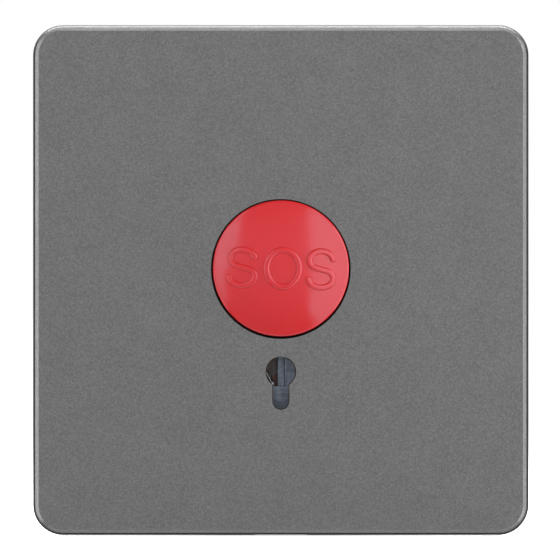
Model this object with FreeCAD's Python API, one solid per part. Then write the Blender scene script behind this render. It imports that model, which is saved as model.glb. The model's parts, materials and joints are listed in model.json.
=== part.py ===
"""Panic button: a wall plate with a latching push button and a key reset.

Millimetres. +X is to the right of someone who faces the plate, +Z is up and the front faces -Y.
The origin is on the wall plane (y = 0), at the centre of the plate.
"""

import FreeCAD, Part
import math
import os

from FreeCAD import Vector

# Front cover
plate_width = 86.0
plate_height = 88.5
plate_rise = 8.0          # front face ahead of the wall plane
corner_radius = 5.2
edge_bevel = 0.73         # flat bevel between face and skirt
skirt_draft = 2.8         # degrees that the skirt opens towards the wall
cover_wall = 2.0
wall_gap = 0.3            # skirt clear of the wall
clearance = 0.3           # between moulded pieces that don't touch
notch_width = 9.0         # notch in the lower skirt to prise the cover off
notch_height = 1.6

# Push button
button_z = 1.92           # button axis above the plate's centre
button_radius = 11.8
button_gap = 0.3          # around the cap, in its hole
dome_rise = 2.4
rim_stand = 0.3           # cap's rim ahead of the face
rim_bevel = 0.4
cap_wall = 1.5
cap_boss_radius = 3.4
cap_seat_depth = 0.9      # ceiling, which the spring bears on, behind the rim
collar_wall = 1.2
press_travel = 4.0
press_spare = 0.5         # cap clear of the floor when fully pressed
collar_cover = 0.5        # the cap's skirt reaches this far behind the collar

# Keyhole
key_z = -15.88
key_head_radius = 2.63
key_slot_width = 2.91
key_slot_drop = 6.55      # from the head's centre to the bottom of the slot
tunnel_margin = 0.5       # tunnel wider than the keyhole all round
tunnel_wall = 1.0
key_sweep_radius = 7.2    # room for the key's bit as it turns

# Mounting frame
frame_gap = 0.3           # between frame and cover
frame_thickness = 2.5
frame_rim_wall = 1.2
rib_width = 1.2
rib_height = 2.2
tray_top = 21.8
tray_bottom = -30.0
tray_wall = 1.8
tray_corner = 4.0
floor_thickness = 2.0
floor_back = 2.5          # rear face of the floor, behind the wall plane
screw_spacing = 60.3
slot_length = 8.2
slot_radius = 2.1

# Snap hooks of the cover
hook_z = 15.0
hook_width = 8.0
hook_thickness = 1.4
hook_inset = 4.6          # hook's outer face to the skirt's inner face
hook_catch = 0.7

# Latch
lock_thickness = 1.0
lock_gap = 0.2            # on both faces of the sliding plate
lock_half_width = 9.8
lock_head_height = 8.0    # plate's top above the button axis
lock_neck_half = 4.6
lock_tail_right = 5.0
lock_tail_left = 6.4
lock_tail_bottom = -23.4
lock_tail_top = -11.6
lock_window_left = -3.4
lock_window_right = -0.55
lock_window_top = -12.8
lock_window_bottom = -18.4
lock_rib_width = 1.2
lock_rib_height = 0.6
lock_rib_top = -11.9
lock_corner = 1.6         # corners cut off the plate
lock_head_under = 2.6     # metal below the stem's window
lock_shoulder = 1.4       # slope between head and neck
lock_tail_slope = 1.8     # slope between neck and tail, on the left
lock_tail_step = 0.6      # and on the right
lock_lug_depth = 1.7
lock_lug_z = -16.2
lock_lug_width = 2.0
lock_lug_height = 1.0
lock_lug_inset = 0.2
tail_guide_low = -21.0
tail_guide_length = 6.0
tail_guide_wall = 1.5
tail_lip_reach = 0.8      # lip over the plate's edge
tail_lip_thickness = 1.1
barb_height = 1.0
barb_width = 4.0
catch_gap = 0.2           # lock plate drops in with this play behind the barb
lock_rest_gap = 0.15      # plate's edge above the stem at rest
lift_spare = 0.17         # lift beyond the barb's top

# Plunger
stem_width = 6.0
stem_height = 5.0
stem_corner = 0.7         # stem's corners cut at 45 degrees
guide_gap = 0.2
stem_step = 0.6           # stem's front end ahead of the cap's rear edge
spigot_size = 3.2
spigot_length = 2.4
spigot_gap = 0.1
stop_gap = 0.3
flange_width = 10.4
flange_height = 8.4
flange_thickness = 1.2
foot_x = 3.5
foot_radius = 1.2
foot_reach = 1.5
foot_length = 5.0
cap_screw_radius = 1.0
cap_screw_head = 1.9
cap_screw_head_height = 1.1
cap_screw_length = 13.5
cap_screw_recess = 0.15   # around the head
screw_gap = 0.05          # around every screw's shank

# Return spring
spring_radius = 4.25
spring_wire = 0.7
spring_turns = 3.0
spring_seat_gap = 0.1
wire_flats = 8
chords_per_turn = 12

# Lock spring
leg_tip_x = -1.5
leg_tip_z = -18.02
leg_angle = -63.0         # degrees, the leg's slope seen from the front
leg_length = 11.0
lock_wire = 0.6
lock_coil_radius = 1.9
lock_coil_turns = 2
lock_coil_pitch = 0.72
fixed_leg_length = 5.2
hook_tip_length = 1.2
spring_post_gap = 0.35

# Guide bridge
bridge_edge = 2.2         # outside the bridge screws' axes
bridge_thickness = 2.0
bridge_top = 11.0
bridge_corner = 1.5
foot_gap = 0.4            # beside the lock plate's head
bracket_wall = 2.0
bracket_boss_half = 2.8
bracket_boss_depth = 2.4
gusset_thickness = 1.2
gusset_reach = 9.0
bridge_screw_wall = 1.5   # between a screw's hole and the lock plate's channel
bridge_screw_z = 6.4      # above and below the button axis
bridge_screw_radius = 1.1
bridge_screw_head = 1.9
bridge_screw_head_height = 1.2
bridge_screw_length = 5.6
bridge_boss_half = 1.8
bridge_boss_height = 2.4
key_stop_half = 3.6       # apron below the bridge that the key's end meets
key_stop_thickness = 1.0

# Snap-action switch
switch_length = 27.8
switch_height = 15.9
switch_thickness = 10.3
switch_lid = 1.6
switch_corner = 0.6
lever_arm = 18.0          # from pivot to the plunger's foot
lever_tip = 3.4           # beyond the foot
lever_width = 3.2
lever_thickness = 0.4
lever_root = 0.75
knuckle_radius = 1.15
lever_pin_radius = 0.6
pivot_gap = 0.06
pivot_inset = 2.4         # from the switch's end to the pivot
cheek_thickness = 1.6
cheek_gap = 0.3
contact_gap = 0.12        # foot to lever at rest
lever_rest_gap = 0.4      # lever to case when fully pressed
pin_arm = 5.0             # from pivot to the switch pin
pin_radius = 1.3
pin_gap = 0.08
pin_depth = 3.6           # pin inside the case at rest
pin_touch = 0.22          # lever to pin at rest
pin_chamfer = 0.78
switch_hole_radius = 1.6
switch_hole_inset = 2.8
switch_screw_radius = 1.5
switch_screw_head = 2.8
switch_screw_head_height = 1.8
switch_screw_length = 14.0

# Terminals
blade_width = 4.75
blade_thickness = 0.5
blade_reach = 8.5
blade_root = 3.0
blade_hole = 0.8
blade_hole_inset = 2.6
blade_point = 1.0
blade_gap = 0.05
common_inset = 6.4        # from the switch's left end
closed_inset = 3.6        # from its right end, with the third blade midway

# Rear housing
housing_wall = 1.6
housing_flange = 1.6
housing_side_gap = 3.0    # beside the bridge
housing_rim = 1.6         # flange beyond the cup, at the sides
housing_edge = 1.0
housing_top = 17.4
housing_bottom = -25.6
housing_corner = 3.0
housing_spare = 0.6       # behind the switch
opening_width = 1.8
opening_height = 6.0
housing_screw_inset_x = 3.9  # from the tray's sides
housing_screw_inset = 2.2    # from the tray's top and bottom edges
housing_screw_radius = 1.2
housing_screw_head = 2.1
housing_screw_head_height = 1.5
housing_screw_length = 6.4
housing_boss_half = 2.2
housing_boss_height = 3.0

# Places that follow from the sizes
face_y = -plate_rise
inner_y = face_y + cover_wall
hole_radius = button_radius + button_gap
floor_front = floor_back - floor_thickness
cap_rear = floor_front - press_travel - press_spare
collar_rear = cap_rear + collar_cover
rim_y = face_y - rim_stand
dome_top = rim_y - dome_rise
dome_edge = button_radius - rim_bevel
dome_sphere = (dome_edge ** 2 + dome_rise ** 2) / (2 * dome_rise)
seat_y = rim_y + cap_seat_depth
stem_front = cap_rear - stem_step
lock_front = floor_back + lock_gap
lock_back = lock_front + lock_thickness
bridge_front = lock_back + lock_gap
bridge_back = bridge_front + bridge_thickness
flange_front = bridge_back + stop_gap
flange_back = flange_front + flange_thickness
foot_y = flange_back + foot_reach
stem_top = button_z + stem_height / 2
barb_front = lock_back - press_travel + catch_gap
ramp_length = lock_front - barb_front
lock_lift = barb_height * press_travel / ramp_length + lift_spare

lever_turn = math.atan(press_travel / lever_arm)
pivot_x = foot_x - lever_arm
pivot_y = (
    foot_y - foot_radius
    + (foot_radius + contact_gap + lever_thickness / 2) / math.cos(lever_turn)
    + press_travel
)
case_front = pivot_y + lever_thickness / 2 + lever_rest_gap
case_back = case_front + switch_height
case_left = pivot_x - pivot_inset
case_right = case_left + switch_length
case_low = button_z - switch_thickness / 2
case_high = button_z + switch_thickness / 2
lid_low = case_high - switch_lid
pin_x = pivot_x + pin_arm
pin_tip = (
    pivot_y
    - pin_arm * math.tan(lever_turn)
    + lever_thickness / 2 / math.cos(lever_turn)
    + pin_touch
)
pin_travel = pin_arm * math.tan(lever_turn)
switch_holes = [
    (case_left + switch_hole_inset, case_back - switch_hole_inset),
    (case_right - switch_hole_inset, case_front + switch_hole_inset),
]
lock_channel = lock_half_width + foot_gap
bridge_screw_x = clearance + max(
    case_right + bridge_screw_head,
    lock_channel + bridge_screw_radius + bridge_screw_wall,
)
bridge_half_width = bridge_screw_x + bridge_edge
housing_half_width = bridge_half_width + housing_side_gap + housing_wall
tray_half_width = housing_half_width + housing_rim
housing_screw_x = tray_half_width - housing_screw_inset_x

leg_dir = Vector(math.cos(math.radians(leg_angle)), 0, math.sin(math.radians(leg_angle)))
leg_side = Vector(leg_dir.z, 0, -leg_dir.x)
leg_y = lock_back + lock_gap / 2 + lock_wire / 2
coil_centre = Vector(leg_tip_x, leg_y, leg_tip_z) - leg_dir * leg_length + leg_side * lock_coil_radius
coil_post_radius = lock_coil_radius - lock_wire / 2 - spring_post_gap
bridge_bottom = coil_centre.z + lock_coil_radius + lock_wire / 2 + spring_seat_gap
housing_back = case_back + housing_spare + housing_wall


# Building blocks
def bar(x0, x1, y0, y1, z0, z1):
    """Block between two corners."""
    return Part.makeBox(x1 - x0, y1 - y0, z1 - z0, Vector(x0, y0, z0))


def rod(radius, y0, y1, x, z):
    """Round bar along Y."""
    return Part.makeCylinder(radius, y1 - y0, Vector(x, y0, z), Vector(0, 1, 0))


def cross_rod(radius, z0, z1, x, y):
    """Round bar along Z."""
    return Part.makeCylinder(radius, z1 - z0, Vector(x, y, z0), Vector(0, 0, 1))


def rounded_wire(width, height, radius, y, x=0.0, z=0.0):
    """Rectangle with rounded corners in the plane y, centred on x and z."""
    a = width / 2 - radius
    b = height / 2 - radius
    s = radius * math.sqrt(0.5)
    corners = [(a, b, 1, 1), (a, -b, 1, -1), (-a, -b, -1, -1), (-a, b, -1, 1)]
    edges = []
    for i, (cx, cz, sx, sz) in enumerate(corners):
        side = Vector(cx + sx * radius, 0, cz)
        tip = Vector(cx, 0, cz + sz * radius)
        mid = Vector(cx + sx * s, 0, cz + sz * s)
        start, end = (tip, side) if i % 2 == 0 else (side, tip)
        edges.append(Part.Arc(start, mid, end).toShape())
    joins = [
        Part.makeLine(edges[i].Vertexes[-1].Point, edges[(i + 1) % 4].Vertexes[0].Point)
        for i in range(4)
    ]
    loop = [e for pair in zip(edges, joins) for e in pair]
    wire = Part.Wire(loop)
    wire.translate(Vector(x, y, z))
    return wire


def slab(width, height, radius, y0, y1, x=0.0, z=0.0):
    """Plate with rounded corners, thick along Y."""
    face = Part.Face(rounded_wire(width, height, radius, y0, x, z))
    return face.extrude(Vector(0, y1 - y0, 0))


def slab_between(x0, x1, z0, z1, radius, y0, y1):
    """Rounded plate given by its edges."""
    return slab(x1 - x0, z1 - z0, radius, y0, y1, (x0 + x1) / 2, (z0 + z1) / 2)


def cut_corner_bar(width, height, cut, y0, y1, x, z):
    """Rectangular bar along Y with its four corners cut at 45 degrees."""
    a = width / 2
    b = height / 2
    corners = [
        (a - cut, b), (a, b - cut), (a, cut - b), (a - cut, -b),
        (cut - a, -b), (-a, cut - b), (-a, b - cut), (cut - a, b),
    ]
    return outline([(x + dx, z + dz) for dx, dz in corners], y0, y1)


def outline(points, y0, y1):
    """Plate along Y from a closed outline of (x, z) points."""
    loop = [Vector(x, y0, z) for x, z in points]
    return Part.Face(Part.makePolygon(loop + [loop[0]])).extrude(Vector(0, y1 - y0, 0))


def joined(solid, *others):
    """One solid from pieces that meet."""
    return solid.fuse(list(others)).removeSplitter()


def keyhole(margin, y0, y1):
    """Round head with a round-ended slot below it, wider by margin all round."""
    half = key_slot_width / 2 + margin
    end = key_z - key_slot_drop - margin + half
    head = rod(key_head_radius + margin, y0, y1, 0, key_z)
    slot = bar(-half, half, y0, y1, end, key_z)
    return joined(head, slot, rod(half, y0, y1, 0, end))


def wire_sweep(points, diameter):
    """Wire along chords, its round section given by a few flats and mitred at each bend."""
    path = Part.makePolygon(points)
    along = (points[1] - points[0]).normalize()
    across = along.cross(Vector(1, 0, 0))
    if across.Length < 0.1:
        across = along.cross(Vector(0, 0, 1))
    across.normalize()
    other = along.cross(across)
    ring = []
    for i in range(wire_flats + 1):
        turn = 2 * math.pi * i / wire_flats
        ring.append(points[0] + (across * math.cos(turn) + other * math.sin(turn)) * (diameter / 2))
    return path.makePipeShell([Part.makePolygon(ring)], True, False, 1)


def moulding_screw(x, z, head_y, radius, head_radius, head_height, length):
    """Screw with a cylindrical head that goes in from behind, towards the front."""
    head = rod(head_radius, head_y, head_y + head_height, x, z)
    return joined(head, rod(radius, head_y - length, head_y, x, z))


# Pieces
def inset_wire(inset, y):
    """The cover's outline, drawn in by an inset on every side."""
    return rounded_wire(
        plate_width - 2 * inset, plate_height - 2 * inset, corner_radius - inset, y
    )


def cover_body():
    """Drafted block with a bevelled front edge, hollowed from behind."""
    bevel_y = face_y + edge_bevel
    taper = (-wall_gap - bevel_y) * math.tan(math.radians(skirt_draft))
    rings = [
        inset_wire(0, -wall_gap),
        inset_wire(taper, bevel_y),
        inset_wire(taper + edge_bevel, face_y),
    ]
    block = Part.makeLoft(rings, True, True)
    hollow = slab(
        plate_width - 2 * cover_wall,
        plate_height - 2 * cover_wall,
        corner_radius - cover_wall,
        inner_y,
        -wall_gap,
    )
    return block.cut(hollow)


def snap_hook(side):
    """Tongue with a barb that passes the frame and grips its ledge."""
    root = plate_width / 2 - cover_wall - hook_inset
    ledge = -frame_thickness / 2
    tip = -wall_gap
    profile = [
        Vector(root - hook_thickness, inner_y - cover_wall / 2, 0),
        Vector(root, inner_y - cover_wall / 2, 0),
        Vector(root, ledge + clearance / 2, 0),
        Vector(root + hook_catch, ledge + clearance / 2, 0),
        Vector(root, tip, 0),
        Vector(root - hook_thickness, tip, 0),
    ]
    face = Part.Face(Part.makePolygon(profile + [profile[0]]))
    tongue = face.extrude(Vector(0, 0, hook_width))
    tongue.translate(Vector(0, 0, -hook_width / 2))
    if side < 0:
        tongue = tongue.mirror(Vector(0, 0, 0), Vector(1, 0, 0))
    return tongue


def front_cover():
    body = cover_body()
    collar = rod(hole_radius + collar_wall, inner_y - cover_wall / 2, collar_rear, 0, button_z)
    hooks = []
    for side in (-1, 1):
        for z in (-hook_z, hook_z):
            hook = snap_hook(side)
            hook.translate(Vector(0, 0, z))
            hooks.append(hook)
    body = joined(body, collar, *hooks)
    body = body.cut(rod(hole_radius, face_y - 1, collar_rear + 1, 0, button_z))
    body = body.cut(keyhole(0, face_y - 1, inner_y + 1))
    skirt_low = -plate_height / 2
    notch = bar(
        -notch_width / 2, notch_width / 2, -wall_gap - notch_height, 0,
        skirt_low - 1, skirt_low + cover_wall + 0.5,
    )
    return body.cut(notch)


def frame_plate():
    """Back plate with its raised rim and the tray that sinks into the wall box."""
    width = plate_width - 2 * cover_wall - 2 * frame_gap
    height = plate_height - 2 * cover_wall - 2 * frame_gap
    radius = corner_radius - cover_wall - frame_gap
    rim_front = inner_y + frame_gap
    plate = slab(width, height, radius, rim_front, 0)
    inside = slab(
        width - 2 * frame_rim_wall, height - 2 * frame_rim_wall, radius - frame_rim_wall,
        rim_front, -frame_thickness,
    )
    tray = slab_between(
        -tray_half_width, tray_half_width, tray_bottom, tray_top, tray_corner,
        -frame_thickness, floor_back,
    )
    pocket = bar(
        -tray_half_width + tray_wall, tray_half_width - tray_wall, -frame_thickness, floor_front,
        tray_bottom + tray_wall, tray_top - tray_wall,
    )
    return joined(plate.cut(inside), tray).cut(pocket)


def frame_ribs():
    """Stiffening ribs from the tray to the rim, on the front of the plate."""
    edge_x = plate_width / 2 - cover_wall - frame_gap - frame_rim_wall / 2
    edge_z = plate_height / 2 - cover_wall - frame_gap - frame_rim_wall / 2
    front = -frame_thickness - rib_height
    half = rib_width / 2
    ribs = []
    for z in (tray_top - rib_width, tray_bottom + rib_width):
        for side in (-1, 1):
            x0, x1 = sorted((side * (tray_half_width - tray_wall / 2), side * edge_x))
            ribs.append(bar(x0, x1, front, -frame_thickness + 0.1, z - half, z + half))
    for x in (-tray_half_width / 2, tray_half_width / 2):
        for low, high in ((tray_top - tray_wall / 2, edge_z), (-edge_z, tray_bottom + tray_wall / 2)):
            ribs.append(bar(x - half, x + half, front, -frame_thickness + 0.1, low, high))
    return ribs


def wall_slots():
    """Two slots for the wall box's screws."""
    reach = slot_length / 2 - slot_radius
    cuts = []
    for x in (-screw_spacing / 2, screw_spacing / 2):
        middle = bar(x - reach, x + reach, -frame_thickness - 1, 1, -slot_radius, slot_radius)
        ends = [rod(slot_radius, -frame_thickness - 1, 1, x + end, 0) for end in (-reach, reach)]
        cuts.append(joined(middle, *ends))
    return cuts


def snap_windows():
    """Windows for the cover's hooks, wider behind the ledge that the barbs grip."""
    root = plate_width / 2 - cover_wall - hook_inset
    half = hook_width / 2 + clearance
    cuts = []
    for side in (-1, 1):
        for z in (-hook_z, hook_z):
            inner = root - hook_thickness - hook_catch - clearance
            narrow = sorted((side * inner, side * (root + clearance)))
            wide = sorted((side * root, side * (root + hook_catch + clearance)))
            cuts.append(bar(*narrow, -frame_thickness - 1, 1, z - half, z + half))
            cuts.append(bar(*wide, -frame_thickness / 2, 1, z - half, z + half))
    return cuts


def key_tunnel():
    """Keyhole-shaped tube that leads the key from the cover to the floor."""
    front = inner_y + frame_gap
    return keyhole(tunnel_margin + tunnel_wall, front, floor_front + 0.1)


def key_passage():
    """Way through tunnel and floor, and the quarter that the key's bit sweeps behind them."""
    way = keyhole(tunnel_margin, inner_y - 1, floor_back + 1)
    half = key_slot_width / 2 + tunnel_margin
    sweep = rod(key_sweep_radius, floor_front, floor_back + 1, 0, key_z)
    low = key_z - key_sweep_radius
    quarter = bar(-key_sweep_radius, half, floor_front, floor_back + 1, low, key_z + half)
    lug_room = bar(
        -key_sweep_radius, -lock_tail_left / 2, floor_front, floor_back + 1,
        key_z, lock_lug_z + lock_lug_height + lock_lift + clearance,
    )
    rib_groove = bar(
        lock_window_right - clearance, lock_window_right + lock_rib_width + clearance,
        lock_front - lock_rib_height - clearance, floor_back + 1,
        key_z, lock_rib_top + lock_lift + clearance,
    )
    return joined(way, sweep.common(quarter), lug_room, rib_groove)


def plunger_way(y0, y1):
    """Guide for the stem, with a notch above it for the barb."""
    width = stem_width + 2 * guide_gap
    height = stem_height + 2 * guide_gap
    hole = cut_corner_bar(width, height, stem_corner, y0, y1, 0, button_z)
    half = barb_width / 2 + 1.5 * guide_gap
    notch = bar(-half, half, y0, y1, button_z, stem_top + barb_height + 1.5 * guide_gap)
    return joined(hole, notch)


def tail_guide():
    """Rib with a lip that keeps the lock plate's tail against the floor."""
    inner = lock_tail_right + frame_gap
    back = lock_back + clearance + tail_lip_thickness
    ends = (tail_guide_low, tail_guide_low + tail_guide_length)
    rib = bar(inner, inner + tail_guide_wall, floor_back - 0.1, back, *ends)
    lip = bar(lock_tail_right - tail_lip_reach, inner + 0.1, lock_back + clearance, back, *ends)
    return joined(rib, lip)


def housing_screw_places():
    """Two places at opposite corners of the tray's floor, as (x, z)."""
    return [
        (housing_screw_x, tray_top - housing_screw_inset),
        (-housing_screw_x, tray_bottom + housing_screw_inset),
    ]


def bridge_screw_places():
    """Two places at opposite corners of the bridge, as (x, z)."""
    return [
        (-bridge_screw_x, button_z + bridge_screw_z),
        (bridge_screw_x, button_z - bridge_screw_z),
    ]


def screw_boss(half, height, x, z):
    """Square boss in front of the floor for a screw that comes from behind."""
    return bar(x - half, x + half, floor_front - height, floor_front + 0.1, z - half, z + half)


def mounting_frame():
    body = joined(frame_plate(), *frame_ribs(), key_tunnel())
    solid_bits = [
        screw_boss(housing_boss_half, housing_boss_height, x, z) for x, z in housing_screw_places()
    ]
    solid_bits += [
        screw_boss(bridge_boss_half, bridge_boss_height, x, z) for x, z in bridge_screw_places()
    ]
    post_end = coil_centre.y + (lock_coil_turns + 0.5) * lock_coil_pitch
    solid_bits.append(rod(coil_post_radius, floor_back - 0.1, post_end, coil_centre.x, coil_centre.z))
    solid_bits.append(tail_guide())
    body = joined(body, *solid_bits)
    cuts = wall_slots() + snap_windows() + [key_passage(), plunger_way(floor_front - 1, floor_back + 1)]
    for x, z in housing_screw_places():
        radius = housing_screw_radius + screw_gap
        depth = floor_back + housing_flange - housing_screw_length - clearance
        cuts.append(rod(radius, depth, floor_back + 1, x, z))
    for x, z in bridge_screw_places():
        radius = bridge_screw_radius + screw_gap
        depth = bridge_back - bridge_screw_length - clearance
        cuts.append(rod(radius, depth, floor_back + 1, x, z))
    return body.cut(cuts)


def button_cap():
    """Domed shell, turned about its axis, with a boss for the plunger's spigot."""
    inner = button_radius - cap_wall
    profile = Part.makePolygon([
        Vector(0, dome_top - 1, 0),
        Vector(dome_edge, dome_top - 1, 0),
        Vector(dome_edge, rim_y, 0),
        Vector(button_radius, rim_y + rim_bevel, 0),
        Vector(button_radius, cap_rear, 0),
        Vector(inner, cap_rear, 0),
        Vector(inner, seat_y, 0),
        Vector(cap_boss_radius, seat_y, 0),
        Vector(cap_boss_radius, stem_front, 0),
        Vector(0, stem_front, 0),
        Vector(0, dome_top - 1, 0),
    ])
    shell = Part.Face(profile).revolve(Vector(0, 0, 0), Vector(0, 1, 0), 360)
    shell = shell.common(Part.makeSphere(dome_sphere, Vector(0, dome_top + dome_sphere, 0)))
    shell.translate(Vector(0, 0, button_z))
    socket = spigot_size + 2 * spigot_gap
    depth = spigot_length + spigot_gap
    shell = shell.cut(square_bar(socket, stem_front - depth, stem_front + 1))
    pilot = flange_back - cap_screw_head_height - cap_screw_length - clearance
    return shell.cut(rod(cap_screw_radius + screw_gap, pilot, stem_front, 0, button_z))


def square_bar(size, y0, y1):
    """Square bar on the button's axis."""
    return bar(-size / 2, size / 2, y0, y1, button_z - size / 2, button_z + size / 2)


def barb():
    """Ramp that lifts the lock plate and the step that it drops behind."""
    side = [
        Vector(-barb_width / 2, barb_front, stem_top - 0.5),
        Vector(-barb_width / 2, barb_front, stem_top + barb_height),
        Vector(-barb_width / 2, barb_front + 0.15 * ramp_length, stem_top + barb_height * 0.85),
        Vector(-barb_width / 2, lock_front, stem_top),
        Vector(-barb_width / 2, lock_front, stem_top - 0.5),
    ]
    return Part.Face(Part.makePolygon(side + [side[0]])).extrude(Vector(barb_width, 0, 0))


def plunger():
    stem = cut_corner_bar(stem_width, stem_height, stem_corner, stem_front, flange_back, 0, button_z)
    spigot = square_bar(spigot_size, stem_front - spigot_length, stem_front + 0.1)
    flange = bar(
        -flange_width / 2, flange_width / 2, flange_front, flange_back,
        button_z - flange_height / 2, button_z + flange_height / 2,
    )
    nose_y = foot_y - foot_radius
    low = button_z - foot_length / 2
    high = button_z + foot_length / 2
    foot = bar(foot_x - foot_radius, foot_x + foot_radius, flange_back - 0.1, nose_y, low, high)
    nose = cross_rod(foot_radius, low, high, foot_x, nose_y)
    body = joined(stem, spigot, flange, foot, nose, barb())
    body = body.cut(rod(cap_screw_radius + screw_gap, stem_front - spigot_length - 1, foot_y, 0, button_z))
    recess = flange_back - cap_screw_head_height
    return body.cut(rod(cap_screw_head + cap_screw_recess, recess, foot_y, 0, button_z))


def cap_screw():
    head_y = flange_back - cap_screw_head_height
    return moulding_screw(
        0, button_z, head_y, cap_screw_radius, cap_screw_head, cap_screw_head_height, cap_screw_length
    )


def button_spring():
    """Open coil between the cap's seat and the floor, flattened at both ends."""
    start = seat_y + spring_seat_gap + spring_wire / 2
    end = floor_front - spring_seat_gap - spring_wire / 2
    steps = round(spring_turns * chords_per_turn)
    points = []
    for i in range(steps + 1):
        share = i / steps
        rise = share - 0.11 * math.sin(2 * math.pi * share)
        turn = 2 * math.pi * i / chords_per_turn
        points.append(
            Vector(
                spring_radius * math.cos(turn),
                start + (end - start) * rise,
                button_z + spring_radius * math.sin(turn),
            )
        )
    return wire_sweep(points, spring_wire)


def lock_plate():
    """Pressed steel plate: a head round the stem, a neck, and the tail that the key lifts."""
    head_low = button_z - stem_height / 2 - lock_lift - lock_head_under
    head_top = button_z + lock_head_height
    neck_top = head_low - lock_shoulder
    cut = lock_corner
    shape = outline(
        [
            (-lock_half_width, head_low + cut),
            (-lock_neck_half - cut, neck_top),
            (-lock_neck_half, neck_top - cut),
            (-lock_neck_half, lock_tail_top),
            (-lock_tail_left, lock_tail_top - lock_tail_slope),
            (-lock_tail_left, lock_tail_bottom + cut),
            (-lock_tail_left + cut, lock_tail_bottom),
            (lock_tail_right - cut, lock_tail_bottom),
            (lock_tail_right, lock_tail_bottom + cut),
            (lock_tail_right, lock_tail_top),
            (lock_neck_half, lock_tail_top + lock_tail_step),
            (lock_neck_half, neck_top - cut),
            (lock_neck_half + cut, neck_top),
            (lock_half_width, head_low + cut),
            (lock_half_width, head_top - cut),
            (lock_half_width - cut, head_top),
            (-lock_half_width + cut, head_top),
            (-lock_half_width, head_top - cut),
        ],
        lock_front,
        lock_back,
    )
    half = stem_width / 2 + guide_gap * 3
    window_low = button_z - stem_height / 2 - lock_lift - lock_rest_gap
    window_high = stem_top + lock_rest_gap
    stem_window = bar(-half, half, lock_front - 1, lock_back + 1, window_low, window_high)
    key_window = bar(
        lock_window_left, lock_window_right, lock_front - 1, lock_back + 1,
        lock_window_bottom, lock_window_top,
    )
    rib = bar(
        lock_window_right, lock_window_right + lock_rib_width,
        lock_front - lock_rib_height, lock_front + 0.1, lock_window_bottom, lock_rib_top,
    )
    lug_left = lock_lug_inset - lock_tail_left
    lug = bar(
        lug_left, lug_left + lock_lug_width, lock_front - lock_lug_depth, lock_front + 0.1,
        lock_lug_z, lock_lug_z + lock_lug_height,
    )
    return joined(shape.cut([stem_window, key_window]), rib, lug)


def lock_spring():
    """Torsion spring: one leg bears on the bridge, the other hooks down on the plate's window."""
    start = math.atan2(-leg_side.z, -leg_side.x)
    wound = 2 * math.pi * lock_coil_turns + math.pi / 2 - start
    steps = round(wound / (2 * math.pi) * chords_per_turn)
    coil = []
    for i in range(1, steps + 1):
        turn = start + wound * i / steps
        coil.append(
            coil_centre
            + Vector(
                lock_coil_radius * math.cos(turn),
                lock_coil_pitch * wound / (2 * math.pi) * i / steps,
                lock_coil_radius * math.sin(turn),
            )
        )
    tip = Vector(leg_tip_x, leg_y, leg_tip_z)
    hook = tip - Vector(0, hook_tip_length, 0)
    end = coil[-1] - Vector(fixed_leg_length, 0, 0)
    return wire_sweep([hook, tip] + coil + [end], lock_wire)


def guide_bridge():
    """Plate on two feet over the lock plate, with the key's stop and the switch's bracket."""
    centre_z = (bridge_bottom + bridge_top) / 2
    height = bridge_top - bridge_bottom
    plate = cut_corner_bar(2 * bridge_half_width, height, bridge_corner, floor_back, bridge_back, 0, centre_z)
    channel = bar(
        -lock_channel, lock_channel, floor_back - 1, bridge_front, bridge_bottom - 1, bridge_top + 1
    )
    bracket = bar(
        case_left, case_right, bridge_back - 0.1, case_back, case_low - bracket_wall, case_low
    )
    gusset_z = case_low - bracket_wall
    ribs = []
    for x in (case_left + gusset_thickness / 2, case_right - 1.5 * gusset_thickness):
        loop = [
            Vector(x, bridge_back - 0.1, gusset_z + 0.1),
            Vector(x, bridge_back - 0.1, bridge_bottom + clearance),
            Vector(x, bridge_back + gusset_reach, gusset_z + 0.1),
        ]
        ribs.append(Part.Face(Part.makePolygon(loop + [loop[0]])).extrude(Vector(gusset_thickness, 0, 0)))
    bosses = [
        bar(x - bracket_boss_half, x + bracket_boss_half, y - bracket_boss_half, y + bracket_boss_half,
            gusset_z - bracket_boss_depth, gusset_z + 0.1)
        for x, y in switch_holes
    ]
    key_stop = bar(
        -key_stop_half, key_stop_half, bridge_back - key_stop_thickness, bridge_back,
        key_z - key_sweep_radius - clearance, bridge_bottom + 0.1,
    )
    body = joined(plate.cut(channel), key_stop, bracket, *ribs, *bosses)
    cuts = [plunger_way(bridge_front - 1, bridge_back + 1)]
    for x, z in bridge_screw_places():
        cuts.append(rod(bridge_screw_radius + screw_gap, floor_back - 1, bridge_back + 1, x, z))
    for x, y in switch_holes:
        radius = switch_screw_radius + screw_gap
        cuts.append(cross_rod(radius, gusset_z - bracket_boss_depth - 1, case_low + 1, x, y))
    return body.cut(cuts)


def bridge_screws():
    return Part.Compound([
        moulding_screw(
            x, z, bridge_back, bridge_screw_radius, bridge_screw_head,
            bridge_screw_head_height, bridge_screw_length,
        )
        for x, z in bridge_screw_places()
    ])


def blade_places():
    """Where the three blades leave the case, as x."""
    first = case_left + common_inset
    last = case_right - closed_inset
    return [first, (first + last) / 2, last]


def blade_slot(x):
    half = blade_thickness / 2 + blade_gap
    wide = blade_width / 2 + blade_gap
    mid = (case_low + lid_low) / 2
    return bar(x - half, x + half, case_back - blade_root - blade_gap, case_back + 1, mid - wide, mid + wide)


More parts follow.
